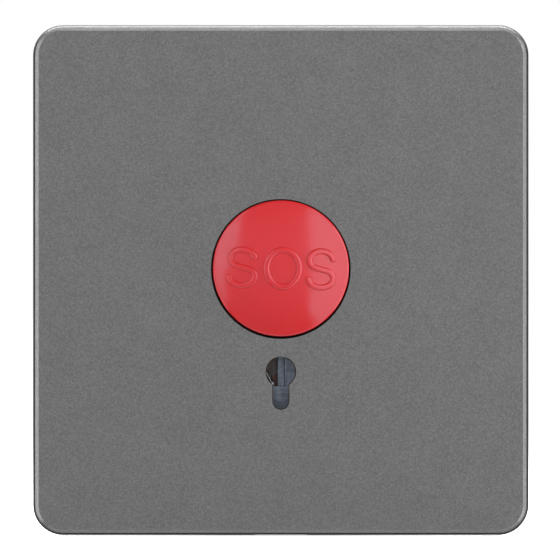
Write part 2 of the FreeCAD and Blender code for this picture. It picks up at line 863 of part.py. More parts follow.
def switch_case():
    """Moulded case, with two cheeks for the lever's pivot and a bore for the pin."""
    body = bar(case_left, case_right, case_front, case_back, case_low, lid_low)
    corners = [
        e for e in body.Edges
        if e.BoundBox.ZLength > 1 and e.BoundBox.XLength < 1e-6 and e.BoundBox.YLength < 1e-6
    ]
    body = body.makeChamfer(switch_corner, corners)
    inner = lever_width / 2 + cheek_gap
    for side in (-1, 1):
        z0, z1 = sorted((button_z + side * inner, button_z + side * (inner + cheek_thickness)))
        z1 = min(z1, lid_low)
        cheek = bar(
            pivot_x - knuckle_radius, pivot_x + knuckle_radius,
            pivot_y - knuckle_radius, case_front + 1, z0, z1,
        )
        body = joined(body, cheek)
    cuts = [cross_rod(lever_pin_radius + pivot_gap, case_low - 1, case_high + 1, pivot_x, pivot_y)]
    cuts.append(cross_rod(knuckle_radius + cheek_gap, button_z - inner, button_z + inner, pivot_x, pivot_y))
    bore_end = case_front + pin_depth + pin_travel + clearance
    cuts.append(rod(pin_radius + pin_gap, case_front - 1, bore_end, pin_x, button_z))
    cuts += [cross_rod(switch_hole_radius, case_low - 1, case_high + 1, x, y) for x, y in switch_holes]
    cuts += [blade_slot(x) for x in blade_places()]
    return body.cut(cuts)


def switch_cover():
    """Lid that closes the case's side."""
    body = bar(case_left, case_right, case_front, case_back, lid_low, case_high)
    corners = [
        e for e in body.Edges
        if e.BoundBox.ZLength > 1 and e.BoundBox.XLength < 1e-6 and e.BoundBox.YLength < 1e-6
    ]
    body = body.makeChamfer(switch_corner, corners)
    return body.cut([
        cross_rod(switch_hole_radius, case_low - 1, case_high + 1, x, y) for x, y in switch_holes
    ])


def switch_pin():
    """Short pin with a rounded end under the lever."""
    end = case_front + pin_depth
    pin = rod(pin_radius, pin_tip, end, pin_x, button_z)
    tip = [e for e in pin.Edges if e.Closed and e.CenterOfMass.y < pin_tip + 0.1]
    return pin.makeChamfer(pin_chamfer, tip)


def switch_lever():
    """Strip with a rolled eye round its pin, leaning on the plunger's foot at rest."""
    low = button_z - lever_width / 2
    high = button_z + lever_width / 2
    strip = bar(
        pivot_x + lever_root, pivot_x + lever_arm + lever_tip,
        pivot_y - lever_thickness / 2, pivot_y + lever_thickness / 2, low, high,
    )
    ends = [
        e for e in strip.Edges
        if e.BoundBox.YLength > lever_thickness / 2 and e.CenterOfMass.x > pivot_x + lever_arm
    ]
    strip = strip.makeChamfer(lever_width * 0.25, ends)
    eye = cross_rod(knuckle_radius, low, high, pivot_x, pivot_y)
    lever = joined(strip, eye)
    lever = lever.cut(cross_rod(lever_pin_radius + pivot_gap, low - 1, high + 1, pivot_x, pivot_y))
    lever.rotate(Vector(pivot_x, pivot_y, button_z), Vector(0, 0, 1), -math.degrees(lever_turn))
    return lever


def lever_pin():
    half = lever_width / 2 + cheek_gap + cheek_thickness
    return cross_rod(lever_pin_radius, button_z - half, min(button_z + half, lid_low), pivot_x, pivot_y)


def terminal(x):
    """Blade with a pointed end and a hole for the wire."""
    mid = (case_low + lid_low) / 2
    tip = case_back + blade_reach
    wide = blade_width / 2
    loop = [
        Vector(x, case_back - blade_root, mid - wide),
        Vector(x, tip - blade_point, mid - wide),
        Vector(x, tip, mid - wide + blade_point),
        Vector(x, tip, mid + wide - blade_point),
        Vector(x, tip - blade_point, mid + wide),
        Vector(x, case_back - blade_root, mid + wide),
    ]
    blade = Part.Face(Part.makePolygon(loop + [loop[0]])).extrude(Vector(blade_thickness, 0, 0))
    blade.translate(Vector(-blade_thickness / 2, 0, 0))
    middle = Vector(x - 1, tip - blade_hole_inset, mid)
    hole = Part.makeCylinder(blade_hole, blade_thickness + 2, middle, Vector(1, 0, 0))
    return blade.cut(hole)


def switch_screws():
    screws = []
    for x, y in switch_holes:
        shank = cross_rod(switch_screw_radius, case_high - switch_screw_length, case_high, x, y)
        head = cross_rod(switch_screw_head, case_high, case_high + switch_screw_head_height, x, y)
        screws.append(joined(shank, head))
    return Part.Compound(screws)


def rear_housing():
    """Cup behind the tray, with a screw flange and a slot for each blade."""
    flange = slab_between(
        -tray_half_width, tray_half_width, tray_bottom, tray_top, tray_corner,
        floor_back, floor_back + housing_flange,
    )
    cup = slab_between(
        -housing_half_width, housing_half_width, housing_bottom, housing_top, housing_corner,
        floor_back, housing_back,
    )
    rim = [e for e in cup.Edges if abs(e.BoundBox.YMin - housing_back) < 1e-6]
    cup = cup.makeChamfer(housing_edge, rim)
    hollow = bar(
        -housing_half_width + housing_wall, housing_half_width - housing_wall,
        floor_back - 1, housing_back - housing_wall,
        housing_bottom + housing_wall, housing_top - housing_wall,
    )
    body = joined(flange, cup).cut(hollow)
    mid = (case_low + lid_low) / 2
    cuts = [
        bar(x - opening_width / 2, x + opening_width / 2, housing_back - housing_wall - 1, housing_back + 1,
            mid - opening_height / 2, mid + opening_height / 2)
        for x in blade_places()
    ]
    for x, z in housing_screw_places():
        radius = housing_screw_radius + screw_gap
        cuts.append(rod(radius, floor_back - 1, floor_back + housing_flange + 1, x, z))
    return body.cut(cuts)


def housing_screws():
    return Part.Compound([
        moulding_screw(
            x, z, floor_back + housing_flange, housing_screw_radius, housing_screw_head,
            housing_screw_head_height, housing_screw_length,
        )
        for x, z in housing_screw_places()
    ])


def main():
    common_x, open_x, closed_x = blade_places()
    pieces = {
        "front_cover": front_cover(),
        "mounting_frame": mounting_frame(),
        "rear_housing": rear_housing(),
        "housing_screws": housing_screws(),
        "button_cap": button_cap(),
        "plunger": plunger(),
        "cap_screw": cap_screw(),
        "button_spring": button_spring(),
        "lock_plate": lock_plate(),
        "lock_spring": lock_spring(),
        "guide_bridge": guide_bridge(),
        "bridge_screws": bridge_screws(),
        "switch_case": switch_case(),
        "switch_cover": switch_cover(),
        "switch_pin": switch_pin(),
        "switch_lever": switch_lever(),
        "lever_pin": lever_pin(),
        "terminal_common": terminal(common_x),
        "terminal_normally_open": terminal(open_x),
        "terminal_normally_closed": terminal(closed_x),
        "switch_screws": switch_screws(),
    }
    os.makedirs("parts", exist_ok=True)
    for name, shape in pieces.items():
        if not shape.isValid():
            print("not valid:", name)
        shape.exportStep(f"parts/{name}.step")
        print(f"{name}: {len(shape.Solids)} solid, {shape.Volume:.0f} mm3")
    turn = math.degrees(lever_turn)
    print(f"lock lift {lock_lift:.4f} mm, pin travel {pin_travel:.4f} mm, lever {turn:.4f} deg")
    print(f"lever pivot {pivot_x:.3f}, {pivot_y:.3f}, {button_z:.3f}")


main()
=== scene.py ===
"""Looks of a wall panic button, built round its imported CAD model.

Metres in Blender, millimetres in every size below. The front faces -Y, +Z is up, and the wall
plane is y = 0.
"""

import json
import logging
import math
from dataclasses import dataclass
from enum import Enum
from functools import partial
from typing import Callable, Iterable, Sequence

import bmesh
import bpy
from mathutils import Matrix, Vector


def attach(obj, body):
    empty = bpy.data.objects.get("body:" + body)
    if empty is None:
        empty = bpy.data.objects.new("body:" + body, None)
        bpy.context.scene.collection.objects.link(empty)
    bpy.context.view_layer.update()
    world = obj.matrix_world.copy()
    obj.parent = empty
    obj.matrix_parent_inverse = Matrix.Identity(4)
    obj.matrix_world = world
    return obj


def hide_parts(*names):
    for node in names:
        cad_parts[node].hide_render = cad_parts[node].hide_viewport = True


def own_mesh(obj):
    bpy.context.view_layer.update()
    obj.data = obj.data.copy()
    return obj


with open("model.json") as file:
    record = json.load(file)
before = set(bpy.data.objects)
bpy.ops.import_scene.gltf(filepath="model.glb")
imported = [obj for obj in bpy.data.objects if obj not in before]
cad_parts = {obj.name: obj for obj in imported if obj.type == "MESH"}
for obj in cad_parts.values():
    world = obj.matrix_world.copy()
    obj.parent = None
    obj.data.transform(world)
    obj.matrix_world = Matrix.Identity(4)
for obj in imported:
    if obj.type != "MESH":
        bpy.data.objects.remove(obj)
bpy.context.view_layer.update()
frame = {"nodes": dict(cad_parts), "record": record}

LOG = logging.getLogger("panic_button")
MM = 0.001
FULL_TURN = 2 * math.pi
AXIS_Z = 1.92      # the button's axis above the plate's centre
WELD = 0.002       # corners nearer than this are one
FLAT = 0.4         # degrees between facets that are one face
SHARP = 28.0       # degrees from which on an edge is rounded
Point = tuple[float, float]
Place = tuple[float, float, float]
Colour = tuple[float, float, float, float]
Piece = bpy.types.Object
Node = bpy.types.Node
Socket = bpy.types.NodeSocket
Adder = Callable[..., Node]      # add_node with its tree


# Nodes and materials
def linear(hex_colour: str) -> Colour:
    """Turns an sRGB hex colour to linear.

    Args:
        hex_colour: Six hex digits with a leading #.

    Returns:
        Red, green, blue and an alpha of 1.
    """
    parts = [int(hex_colour[i:i + 2], 16) / 255 for i in (1, 3, 5)]
    low = [p / 12.92 if p <= 0.04045 else ((p + 0.055) / 1.055) ** 2.4 for p in parts]
    return (low[0], low[1], low[2], 1.0)


def add_node(tree: bpy.types.NodeTree, kind: str, inputs: dict | None = None, **settings: object) -> Node:
    """Adds a shader node with its settings and links.

    Args:
        tree: The tree that gets the node.
        kind: The node's type name after "ShaderNode".
        inputs: For each input, by name or number, a value, a socket, or a node whose first output is meant.
        **settings: Properties of the node.

    Returns:
        The new node.
    """
    node = tree.nodes.new("ShaderNode" + kind)
    for name, value in settings.items():
        setattr(node, name, value)
    for key, value in (inputs or {}).items():
        if isinstance(value, Node):
            value = next(output for output in value.outputs if output.enabled)
        if isinstance(value, Socket):
            tree.links.new(value, node.inputs[key])
        else:
            node.inputs[key].default_value = value
    return node


def new_material(name: str) -> tuple[bpy.types.Material, Adder, Socket]:
    """Makes an empty node material.

    Args:
        name: The material's name.

    Returns:
        The material, add_node for its tree, and the place on the object.
    """
    material = bpy.data.materials.new(name)
    material.use_nodes = True
    material.node_tree.nodes.clear()
    add = partial(add_node, material.node_tree)
    return material, add, add("TexCoord").outputs["Object"]


def add_surface(add: Adder, shader: dict, gloss: Node | Socket, rough: Point, relief: Node, depth: Point,
                reach: Point = (0.3, 0.7)) -> None:
    """Ends a material with an uneven gloss, a fine relief, its shader and its output.

    Args:
        add: Adds a node to the material.
        shader: Colour and constants of the shader.
        gloss: The pattern that the gloss follows.
        rough: Roughness at that pattern's low and high end.
        relief: The pattern of the relief.
        depth: Strength of the relief, and its depth in millimetres.
        reach: Low and high end of the gloss pattern.
    """
    haze = add("MapRange", {
        "Value": gloss, "From Min": reach[0], "From Max": reach[1], "To Min": rough[0], "To Max": rough[1],
    })
    bump = add("Bump", {"Height": relief, "Strength": depth[0], "Distance": depth[1] * MM})
    shade = add("BsdfPrincipled", {**shader, "Roughness": haze, "Normal": bump})
    add("OutputMaterial", {"Surface": shade})


# Shaping
def only(piece: Piece) -> None:
    """Selects one object, makes it active and leaves all others unselected.

    Args:
        piece: The object.
    """
    for other in bpy.context.selected_objects:
        other.select_set(False)
    piece.select_set(True)
    bpy.context.view_layer.objects.active = piece


def add_object(name: str, data: bpy.types.ID) -> Piece:
    """Adds an object to the scene.

    Args:
        name: The object's name.
        data: Its mesh, curve, lamp or camera.

    Returns:
        The object.
    """
    piece = bpy.data.objects.new(name, data)
    bpy.context.scene.collection.objects.link(piece)
    return piece


def primitive(name: str, add: Callable, **settings: object) -> Piece:
    """Adds a primitive with nothing else selected.

    Args:
        name: The piece's name.
        add: The operator that adds it.
        **settings: The operator's settings.

    Returns:
        The new object.
    """
    for other in bpy.context.selected_objects:
        other.select_set(False)
    add(**settings)
    piece = bpy.context.object
    piece.name = name
    piece.data.name = name
    return piece


def edit_all() -> None:
    """Opens the active piece in edit mode with all its vertices selected."""
    bpy.ops.object.mode_set(mode="EDIT")
    bpy.ops.mesh.select_mode(type="VERT")
    bpy.ops.mesh.select_all(action="SELECT")


def face_outwards() -> None:
    """Turns all faces of the piece in edit mode outwards."""
    bpy.ops.mesh.select_all(action="SELECT")
    bpy.ops.mesh.normals_make_consistent(inside=False)


def select_where(piece: Piece, test: Callable[[Vector], bool]) -> None:
    """Selects the vertices that pass a test on their place, in edit mode.

    Args:
        piece: The object in edit mode.
        test: Says of a place in the row frame whether it is wanted.
    """
    bpy.ops.mesh.select_mode(type="VERT")
    mesh = bmesh.from_edit_mesh(piece.data)
    for vertex in mesh.verts:
        vertex.select = test(piece.matrix_world @ vertex.co)
    mesh.select_flush(True)
    mesh.select_flush(False)
    bmesh.update_edit_mesh(piece.data)


def apply_modifier(piece: Piece, kind: str, **settings: object) -> None:
    """Adds a modifier with its settings and applies it.

    Args:
        piece: The object that gets it.
        kind: The modifier's type name.
        **settings: Properties of the modifier.
    """
    only(piece)
    modifier = piece.modifiers.new(kind.lower(), kind)
    for name, value in settings.items():
        setattr(modifier, name, value)
    bpy.ops.object.modifier_apply(modifier=modifier.name)


def combine(piece: Piece, other: Piece, operation: str) -> None:
    """Unites a piece with another one or cuts it with that, and removes the other one."""
    apply_modifier(piece, "BOOLEAN", operation=operation, object=other, solver="EXACT")
    bpy.data.objects.remove(other)


def settle(piece: Piece, smooth_below: float = 32.0) -> Piece:
    """Puts a finished piece's place in its mesh and smooths its shading.

    Args:
        piece: The object, in object mode.
        smooth_below: Edges flatter than this many degrees are shaded smooth.

    Returns:
        The same object, at the origin.
    """
    only(piece)
    bpy.ops.object.transform_apply(location=True, rotation=True, scale=True)
    bpy.ops.object.shade_smooth_by_angle(angle=math.radians(smooth_below))
    apply_modifier(piece, "WEIGHTED_NORMAL", keep_sharp=True)
    return piece


def join(pieces: Sequence[Piece], name: str) -> Piece:
    """Joins pieces into one, with their places in its mesh.

    Args:
        pieces: The pieces, in object mode.
        name: The name of the whole.

    Returns:
        The one piece.
    """
    only(pieces[0])
    for piece in pieces[1:]:
        piece.select_set(True)
    bpy.ops.object.transform_apply(location=True, rotation=True, scale=True)
    if len(pieces) > 1:
        bpy.ops.object.join()
    whole = bpy.context.view_layer.objects.active
    whole.name = name
    whole.data.name = name
    return whole


def turned(name: str, profile: Sequence[Point], centre: Point, segments: int) -> Piece:
    """Turns a body about an axis along Y by extruding and resizing a ring from step to step.

    Args:
        name: The piece's name.
        profile: Radius and y of each ring, in millimetres. The last ring is drawn together to a point.
        centre: The axis as x and z, in millimetres.
        segments: Corners of each ring.

    Returns:
        The body, still in object mode, not settled.
    """
    x, z = centre[0] * MM, centre[1] * MM
    radius, y = profile[0]
    piece = primitive(
        name, bpy.ops.mesh.primitive_circle_add, vertices=segments, radius=radius * MM,
        fill_type="NOTHING", location=(x, y * MM, z), rotation=(math.pi / 2, 0, 0),
    )
    edit_all()
    for (r0, y0), (r1, y1) in zip(profile, profile[1:]):
        bpy.ops.mesh.extrude_region_move(TRANSFORM_OT_translate={"value": (0, (y1 - y0) * MM, 0)})
        if r1 != r0:
            bpy.ops.transform.resize(value=(r1 / r0, 1, r1 / r0), center_override=(x, y1 * MM, z))
    bpy.ops.mesh.merge(type="CENTER")
    face_outwards()
    bpy.ops.object.mode_set(mode="OBJECT")
    return piece


def wire_along(name: str, points: Sequence[Vector], diameter: float) -> Piece:
    """Draws a round wire with closed ends.

    Args:
        name: The piece's name.
        points: The wire's line, in millimetres.
        diameter: The wire's diameter, in millimetres.

    Returns:
        The wire as a mesh.
    """
    curve = bpy.data.curves.new(name, "CURVE")
    curve.dimensions = "3D"
    curve.bevel_depth = diameter / 2 * MM
    curve.bevel_resolution = 3
    curve.use_fill_caps = True
    line = curve.splines.new("POLY")
    line.points.add(len(points) - 1)
    for spot, point in zip(line.points, points):
        spot.co = (*(point * MM), 1.0)
    only(add_object(name, curve))
    bpy.ops.object.convert(target="MESH")
    return settle(bpy.context.object, smooth_below=50.0)


def merged_copy(node: str, name: str) -> Piece:
    """Copies a CAD node's mesh and merges its doubled corners and flat facets.

    Args:
        node: The CAD node.
        name: The new piece's name.

    Returns:
        The copy, selected and in object mode.
    """
    piece = add_object(name, frame["nodes"][node].data.copy())
    piece.data.name = name
    only(piece)
    bpy.ops.mesh.customdata_custom_splitnormals_clear()
    edit_all()
    bpy.ops.mesh.remove_doubles(threshold=WELD * MM)
    bpy.ops.mesh.dissolve_limited(angle_limit=math.radians(FLAT))
    bpy.ops.object.mode_set(mode="OBJECT")
    return piece


def round_edges(piece: Piece, width: float, segments: int = 2) -> Piece:
    """Rounds a piece's sharp edges, as a mould or a press leaves them.

    Args:
        piece: The piece.
        width: Width of the rounding, in millimetres.
        segments: Facets across the rounding.

    Returns:
        The same piece, settled.
    """
    apply_modifier(piece, "BEVEL", width=width * MM, segments=segments, limit_method="ANGLE",
                   angle_limit=math.radians(SHARP), use_clamp_overlap=True, harden_normals=False)
    return settle(piece)


# Finishes
@dataclass(frozen=True)
class SandPaint:
    """Moulded ABS, sprayed with a satin grey that holds fine aluminium flake and sand."""

    colour: str = "#717171"
    light_grain: str = "#808080"
    dark_grain: str = "#636363"
    grain: float = 0.24        # mm, as coarse as the paint's sand shows from a step away
    cloud: float = 6.0         # mm across the coat's thicker and thinner places
    fleck: float = 0.22        # mm, flake that catches the light
    metallic: float = 0.78
    roughness: float = 0.38
    side_painted_shade: float = 0.34    # painted shade: the share of the tone left to the sides, darker than front and top

    def make(self) -> bpy.types.Material:
        """Builds the material.

        Returns:
            A grey that breaks up into fine light and dark grains, with painted shade that darkens all sides
            but the top.
        """
        material, add, spot = new_material("sprayed_sand_paint")
        sand = add("TexNoise", {
            "Vector": spot, "Scale": 1 / (self.grain * MM), "Detail": 2.0, "Roughness": 0.6,
        })
        cloud = add("TexNoise", {
            "Vector": spot, "Scale": 1 / (self.cloud * MM), "Detail": 2.0, "Roughness": 0.5,
        })
        ramp = add("ValToRGB", {"Fac": sand})
        steps = ramp.color_ramp.elements
        for step, position, grey in zip(steps, (0.3, 0.7), (self.dark_grain, self.light_grain)):
            step.position = position
            step.color = linear(grey)
        steps.new(0.5).color = linear(self.colour)
        drift = add("MapRange", {
            "Value": cloud, "From Min": 0.3, "From Max": 0.7, "To Min": 0.97, "To Max": 1.03,
        })
        tone = add("VectorMath", {0: ramp, 1: drift}, operation="MULTIPLY")
        # Painted shade: faces turned away from the front come out darker, except those that face up.
        facing = add("SeparateXYZ", {"Vector": add("TexCoord").outputs["Normal"]})
        shade_by_height = add("MapRange", {
            "Value": facing.outputs["Z"], "From Min": 0.1, "From Max": 0.6,
            "To Min": self.side_painted_shade, "To Max": 1.0,
        }, interpolation_type="SMOOTHSTEP")
        painted_side_shade = add("MapRange", {
            "Value": facing.outputs["Y"], "From Min": -0.7, "From Max": -0.5, "To Min": 1.0, "To Max": shade_by_height,
        }, interpolation_type="SMOOTHSTEP")
        shade = add("VectorMath", {0: tone, 1: painted_side_shade}, operation="MULTIPLY")
        flake = add("TexVoronoi", {"Vector": spot, "Scale": 1 / (self.fleck * MM)})
        add_surface(
            add, {"Base Color": shade, "Metallic": self.metallic, "Specular IOR Level": 0.35},
            flake.outputs["Color"], (self.roughness - 0.1, self.roughness + 0.12),
            sand, (0.35, 0.02), reach=(0.0, 1.0),
        )
        return material


@dataclass(frozen=True)
class GlossAbs:
    """ABS moulded in a polished tool: deep even colour and a clear gloss, with a faint flow mark."""

    name: str = "gloss_red_abs"
    colour: str = "#C0272C"
    deep: str = "#B92525"
    roughness: float = 0.17
    flow: float = 9.0          # mm across a flow mark
    peel: float = 1.6          # mm across a dimple of the gloss
    sheen: Colour = (0.22, 0.85, 1.0, 1.0)   # the pigment tints the gloss a little

    def make(self) -> bpy.types.Material:
        """Builds the material.

        Returns:
            A glossy colour with broad, soft variation as in a thick moulding.
        """
        material, add, spot = new_material(self.name)
        flow = add("TexNoise", {
            "Vector": spot, "Scale": 1 / (self.flow * MM), "Detail": 2.0, "Roughness": 0.5, "Distortion": 0.6,
        })
        tone = add("Mix", {
            "Factor": flow, "A": linear(self.colour), "B": linear(self.deep),
        }, data_type="RGBA")
        peel = add("TexNoise", {"Vector": spot, "Scale": 1 / (self.peel * MM), "Detail": 1.0})
        add_surface(add, {"Base Color": tone, "IOR": 1.5, "Specular Tint": self.sheen},
                    flow, (self.roughness - 0.03, self.roughness + 0.05), peel, (0.1, 0.01))
        return material


@dataclass(frozen=True)
class MouldedPlastic:
    """Plastic from a spark-eroded tool: an even, fine grain that dulls the gloss."""

    name: str
    colour: str
    worn: str
    roughness: float = 0.48
    grain: float = 0.25        # mm between the pits of the tool's texture
    patch: float = 7.0         # mm across a rubbed patch
    blotch: str = ""            # colour of a reddish-brown blotch, if there is any
    blotch_spot: Place = (0.0, 0.0, 0.0)    # mm
    blotch_reach: Place = (1.0, 1.0, 1.0)   # mm

    def blotched(self, add: Adder, spot: Socket, tone: Node) -> Node:
        """Lays a soft-edged blotch over a colour.

        Args:
            add: Adds a node to the material.
            spot: The place on the object.
            tone: The colour under the blotch.

        Returns:
            The colour with the blotch.
        """
        offset = add("VectorMath", {0: spot, 1: Vector(self.blotch_spot) * MM}, operation="SUBTRACT")
        share = add("VectorMath", {0: offset, 1: Vector(self.blotch_reach) * MM}, operation="DIVIDE")
        away = add("VectorMath", {0: share}, operation="LENGTH")
        cover = add("MapRange", {
            "Value": away, "From Min": 1.1, "From Max": 0.8, "To Min": 0.0, "To Max": 0.85,
        })
        return add("Mix", {"Factor": cover, "A": tone, "B": linear(self.blotch)}, data_type="RGBA")

    def make(self) -> bpy.types.Material:
        """Builds the material.

        Returns:
            A satin plastic with grain and slightly paler rubbed patches.
        """
        material, add, spot = new_material(self.name)
        pits = add("TexNoise", {
            "Vector": spot, "Scale": 1 / (self.grain * MM), "Detail": 2.0, "Roughness": 0.55,
        })
        rubbed = add("TexNoise", {
            "Vector": spot, "Scale": 1 / (self.patch * MM), "Detail": 4.0, "Roughness": 0.6,
        })
        share = add("MapRange", {
            "Value": rubbed, "From Min": 0.45, "From Max": 0.75, "To Min": 0.0, "To Max": 0.5,
        })
        tone = add("Mix", {
            "Factor": share, "A": linear(self.colour), "B": linear(self.worn),
        }, data_type="RGBA")
        if self.blotch:
            tone = self.blotched(add, spot, tone)
        add_surface(add, {"Base Color": tone, "IOR": 1.5},
                    rubbed, (self.roughness + 0.06, self.roughness - 0.08), pits, (0.3, 0.02))
        return material


@dataclass(frozen=True)
class RolledSteel:
    """Cold-rolled steel strip: cool grey, drawn along its length, with stray handling scratches."""

    name: str = "cold_rolled_steel"
    colour: str = "#717B8B"
    streak: str = "#ACB5C4"
    roughness: float = 0.38
    line: float = 0.12         # mm across a rolling line
    stretch: float = 0.06      # width of a rolling line over its length
    mottle: float = 0.7        # mm across a tarnished spot
    scratch: float = 1.3       # mm between scratches
    rub_centre: Point | None = None      # x and z of the arcs that a key's bit has rubbed, mm
    rub_radii: Point = (1.5, 1.05)
    rub_width: float = 0.07

    def rubbed(self, add: Adder, spot: Socket, sheen: Node) -> Node:
        """Adds thin bright arcs where the key's bit has rubbed the steel.

        Args:
            add: Adds a node to the material.
            spot: The place on the object.
            sheen: The share of bright metal so far.

        Returns:
            The share of bright metal with the arcs.
        """
        x, z = self.rub_centre
        flat = add("Mapping", {"Vector": spot, "Location": (-x * MM, 0.0, -z * MM), "Scale": (1.0, 0.0, 1.0)})
        height = add("SeparateXYZ", {"Vector": flat}).outputs["Z"]
        reach = add("VectorMath", {0: flat}, operation="LENGTH")
        below = add("MapRange", {
            "Value": height, "From Min": -0.2 * MM, "From Max": -0.9 * MM, "To Min": 0.0, "To Max": 1.0,
        })
        for radius in self.rub_radii:
            near = add("Math", {0: reach, 1: radius * MM, 2: self.rub_width * MM}, operation="COMPARE")
            arc = add("Math", {0: near, 1: below}, operation="MULTIPLY")
            sheen = add("Math", {0: sheen, 1: arc}, operation="MAXIMUM")
        return sheen

    def make(self) -> bpy.types.Material:
        """Builds the material.

        Returns:
            A bare metal with rolling lines and thin bright scratches across them.
        """
        material, add, spot = new_material(self.name)
        along = add("Mapping", {"Vector": spot, "Scale": (1.0, 1.0, self.stretch)})
        rolling = add("TexNoise", {"Vector": along, "Scale": 1 / (self.line * MM), "Detail": 3.0})
        mottle = add("TexNoise", {
            "Vector": spot, "Scale": 1 / (self.mottle * MM), "Detail": 3.0, "Roughness": 0.6,
        })
        slant = add("Mapping", {
            "Vector": spot, "Rotation": (0.0, math.radians(35.0), 0.0), "Scale": (0.12, 1.0, 1.0),
        })
        cells = add("TexVoronoi", {
            "Vector": slant, "Scale": 1 / (self.scratch * MM), "Randomness": 1.0,
        }, feature="DISTANCE_TO_EDGE")
        cut = add("MapRange", {
            "Value": cells, "From Min": 0.0, "From Max": 0.05, "To Min": 1.0, "To Max": 0.0,
        })
        sheen = add("Math", {0: mottle, 1: cut}, operation="MAXIMUM")
        if self.rub_centre:
            sheen = self.rubbed(add, spot, sheen)
        tone = add("Mix", {
            "Factor": sheen, "A": linear(self.colour), "B": linear(self.streak),
        }, data_type="RGBA")
        add_surface(add, {"Base Color": tone, "Metallic": 1.0},
                    rolling, (self.roughness - 0.08, self.roughness + 0.12), rolling, (0.25, 0.01))
        return material


@dataclass(frozen=True)
class PlatedMetal:
    """Small turned or drawn metal parts with a thin plating: bright, with fine uneven patches."""

    name: str
    colour: str
    patch: str
    roughness: float = 0.25
    patch_size: float = 1.2    # mm across a patch of the plating
    drag: float = 0.15         # mm across a mark of the die or the tool

    def make(self) -> bpy.types.Material:
        """Builds the material.

        Returns:
            A bright metal whose tone and gloss wander a little.
        """
        material, add, spot = new_material(self.name)
        bloom = add("TexNoise", {
            "Vector": spot, "Scale": 1 / (self.patch_size * MM), "Detail": 4.0, "Roughness": 0.65,
        })
        drag = add("TexNoise", {"Vector": spot, "Scale": 1 / (self.drag * MM), "Detail": 1.0})
        tone = add("Mix", {
            "Factor": bloom, "A": linear(self.colour), "B": linear(self.patch),
        }, data_type="RGBA")
        add_surface(add, {"Base Color": tone, "Metallic": 1.0},
                    bloom, (self.roughness - 0.07, self.roughness + 0.12), drag, (0.2, 0.006))
        return material


class Finish(Enum):
    """The finishes of this object, each made once."""

    COVER = SandPaint()
    # Bare plastic inside the holes; its dark brown is also painted shade of the holes' edges.
    BARE_EDGE_SHADE = MouldedPlastic("bare_abs_painted_shade", "#38251F", "#46332D", 0.5)
    CAP = GlossAbs()
    SWITCH_PIN = GlossAbs("red_nylon", "#B4222A", "#A31C22", 0.3)
    FRAME = MouldedPlastic("black_frame_abs", "#242528", "#2E2F33")
    HOUSING = MouldedPlastic("black_housing_pp", "#1E1F21", "#292A2D", 0.42, 0.3)
    MECHANISM = MouldedPlastic("natural_acetal", "#DED9D0", "#E8E5DF", 0.36, 0.2)
    # A darker acetal tone, with a reddish-brown blotch behind the keyhole.
    BRIDGE = MouldedPlastic(
        "blotched_acetal", "#B0A49A", "#BDB3AA", 0.36, 0.2,
        blotch="#C4645A", blotch_spot=(-0.8, 4.9, -17.9), blotch_reach=(0.8, 1.0, 1.8),
    )
    SWITCH = MouldedPlastic("black_phenolic", "#191919", "#232323", 0.38, 0.2)
    STEEL = RolledSteel()
    LOCK_STEEL = RolledSteel("rubbed_rolled_steel", rub_centre=(0.0, -19.45))
    WIRE = PlatedMetal("drawn_spring_wire", "#C2CEDF", "#EAF1F8", 0.22, 0.8)
    ZINC = PlatedMetal("zinc_plated_steel", "#A9ABAD", "#C6C7C6", 0.28)
    BRASS = PlatedMetal("brass_strip", "#C6A765", "#D8BE82", 0.27, 1.6)

    def material(self) -> bpy.types.Material:
        """The finish's material, built at its first use."""
        found = bpy.data.materials.get(f"finish_{self.name.lower()}")
        if found is None:
            found = self.value.make()
            found.name = f"finish_{self.name.lower()}"
        return found


# Sub-assemblies
def body_of(node: str) -> str:
    """The body that a CAD node rides on."""
    bodies = frame["record"]["behaviour"]["bodies"]
    return next(body for body, members in bodies.items() if node in members)


def place(piece: Piece, finish: Finish, node: str, stands_for: bool = True) -> None:
    """Gives a new piece its material, slot and body, and lets it stand for its node.

    Args:
        piece: The finished piece.
        finish: Its finish.
        node: The CAD node that it belongs to.
        stands_for: Whether it replaces that node.
    """
    piece.data.materials.clear()
    piece.data.materials.append(finish.material())
    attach(piece, body_of(node))
    if stands_for:
        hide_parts(node)
    LOG.info("%s: %d faces, rides on %s", piece.name, len(piece.data.polygons), body_of(node))


def soften(node: str, name: str, width: float, finish: Finish) -> None:
    """Lets a copy of a CAD node with rounded edges stand for it.

    Args:
        node: The CAD node.
        name: The new piece's name.
        width: Width of the rounding, in millimetres.
        finish: Its finish.
    """
    place(round_edges(merged_copy(node, name), width), finish, node)


def dress(node: str, finish: Finish) -> None:
    """Gives a CAD node that is used as it is its material.

    Args:
        node: The CAD node.
        finish: Its finish.
    """
    piece = frame["nodes"][node]
    for entry in piece.material_slots:
        entry.material = finish.material()
    LOG.info("%s: CAD node, dressed", node)


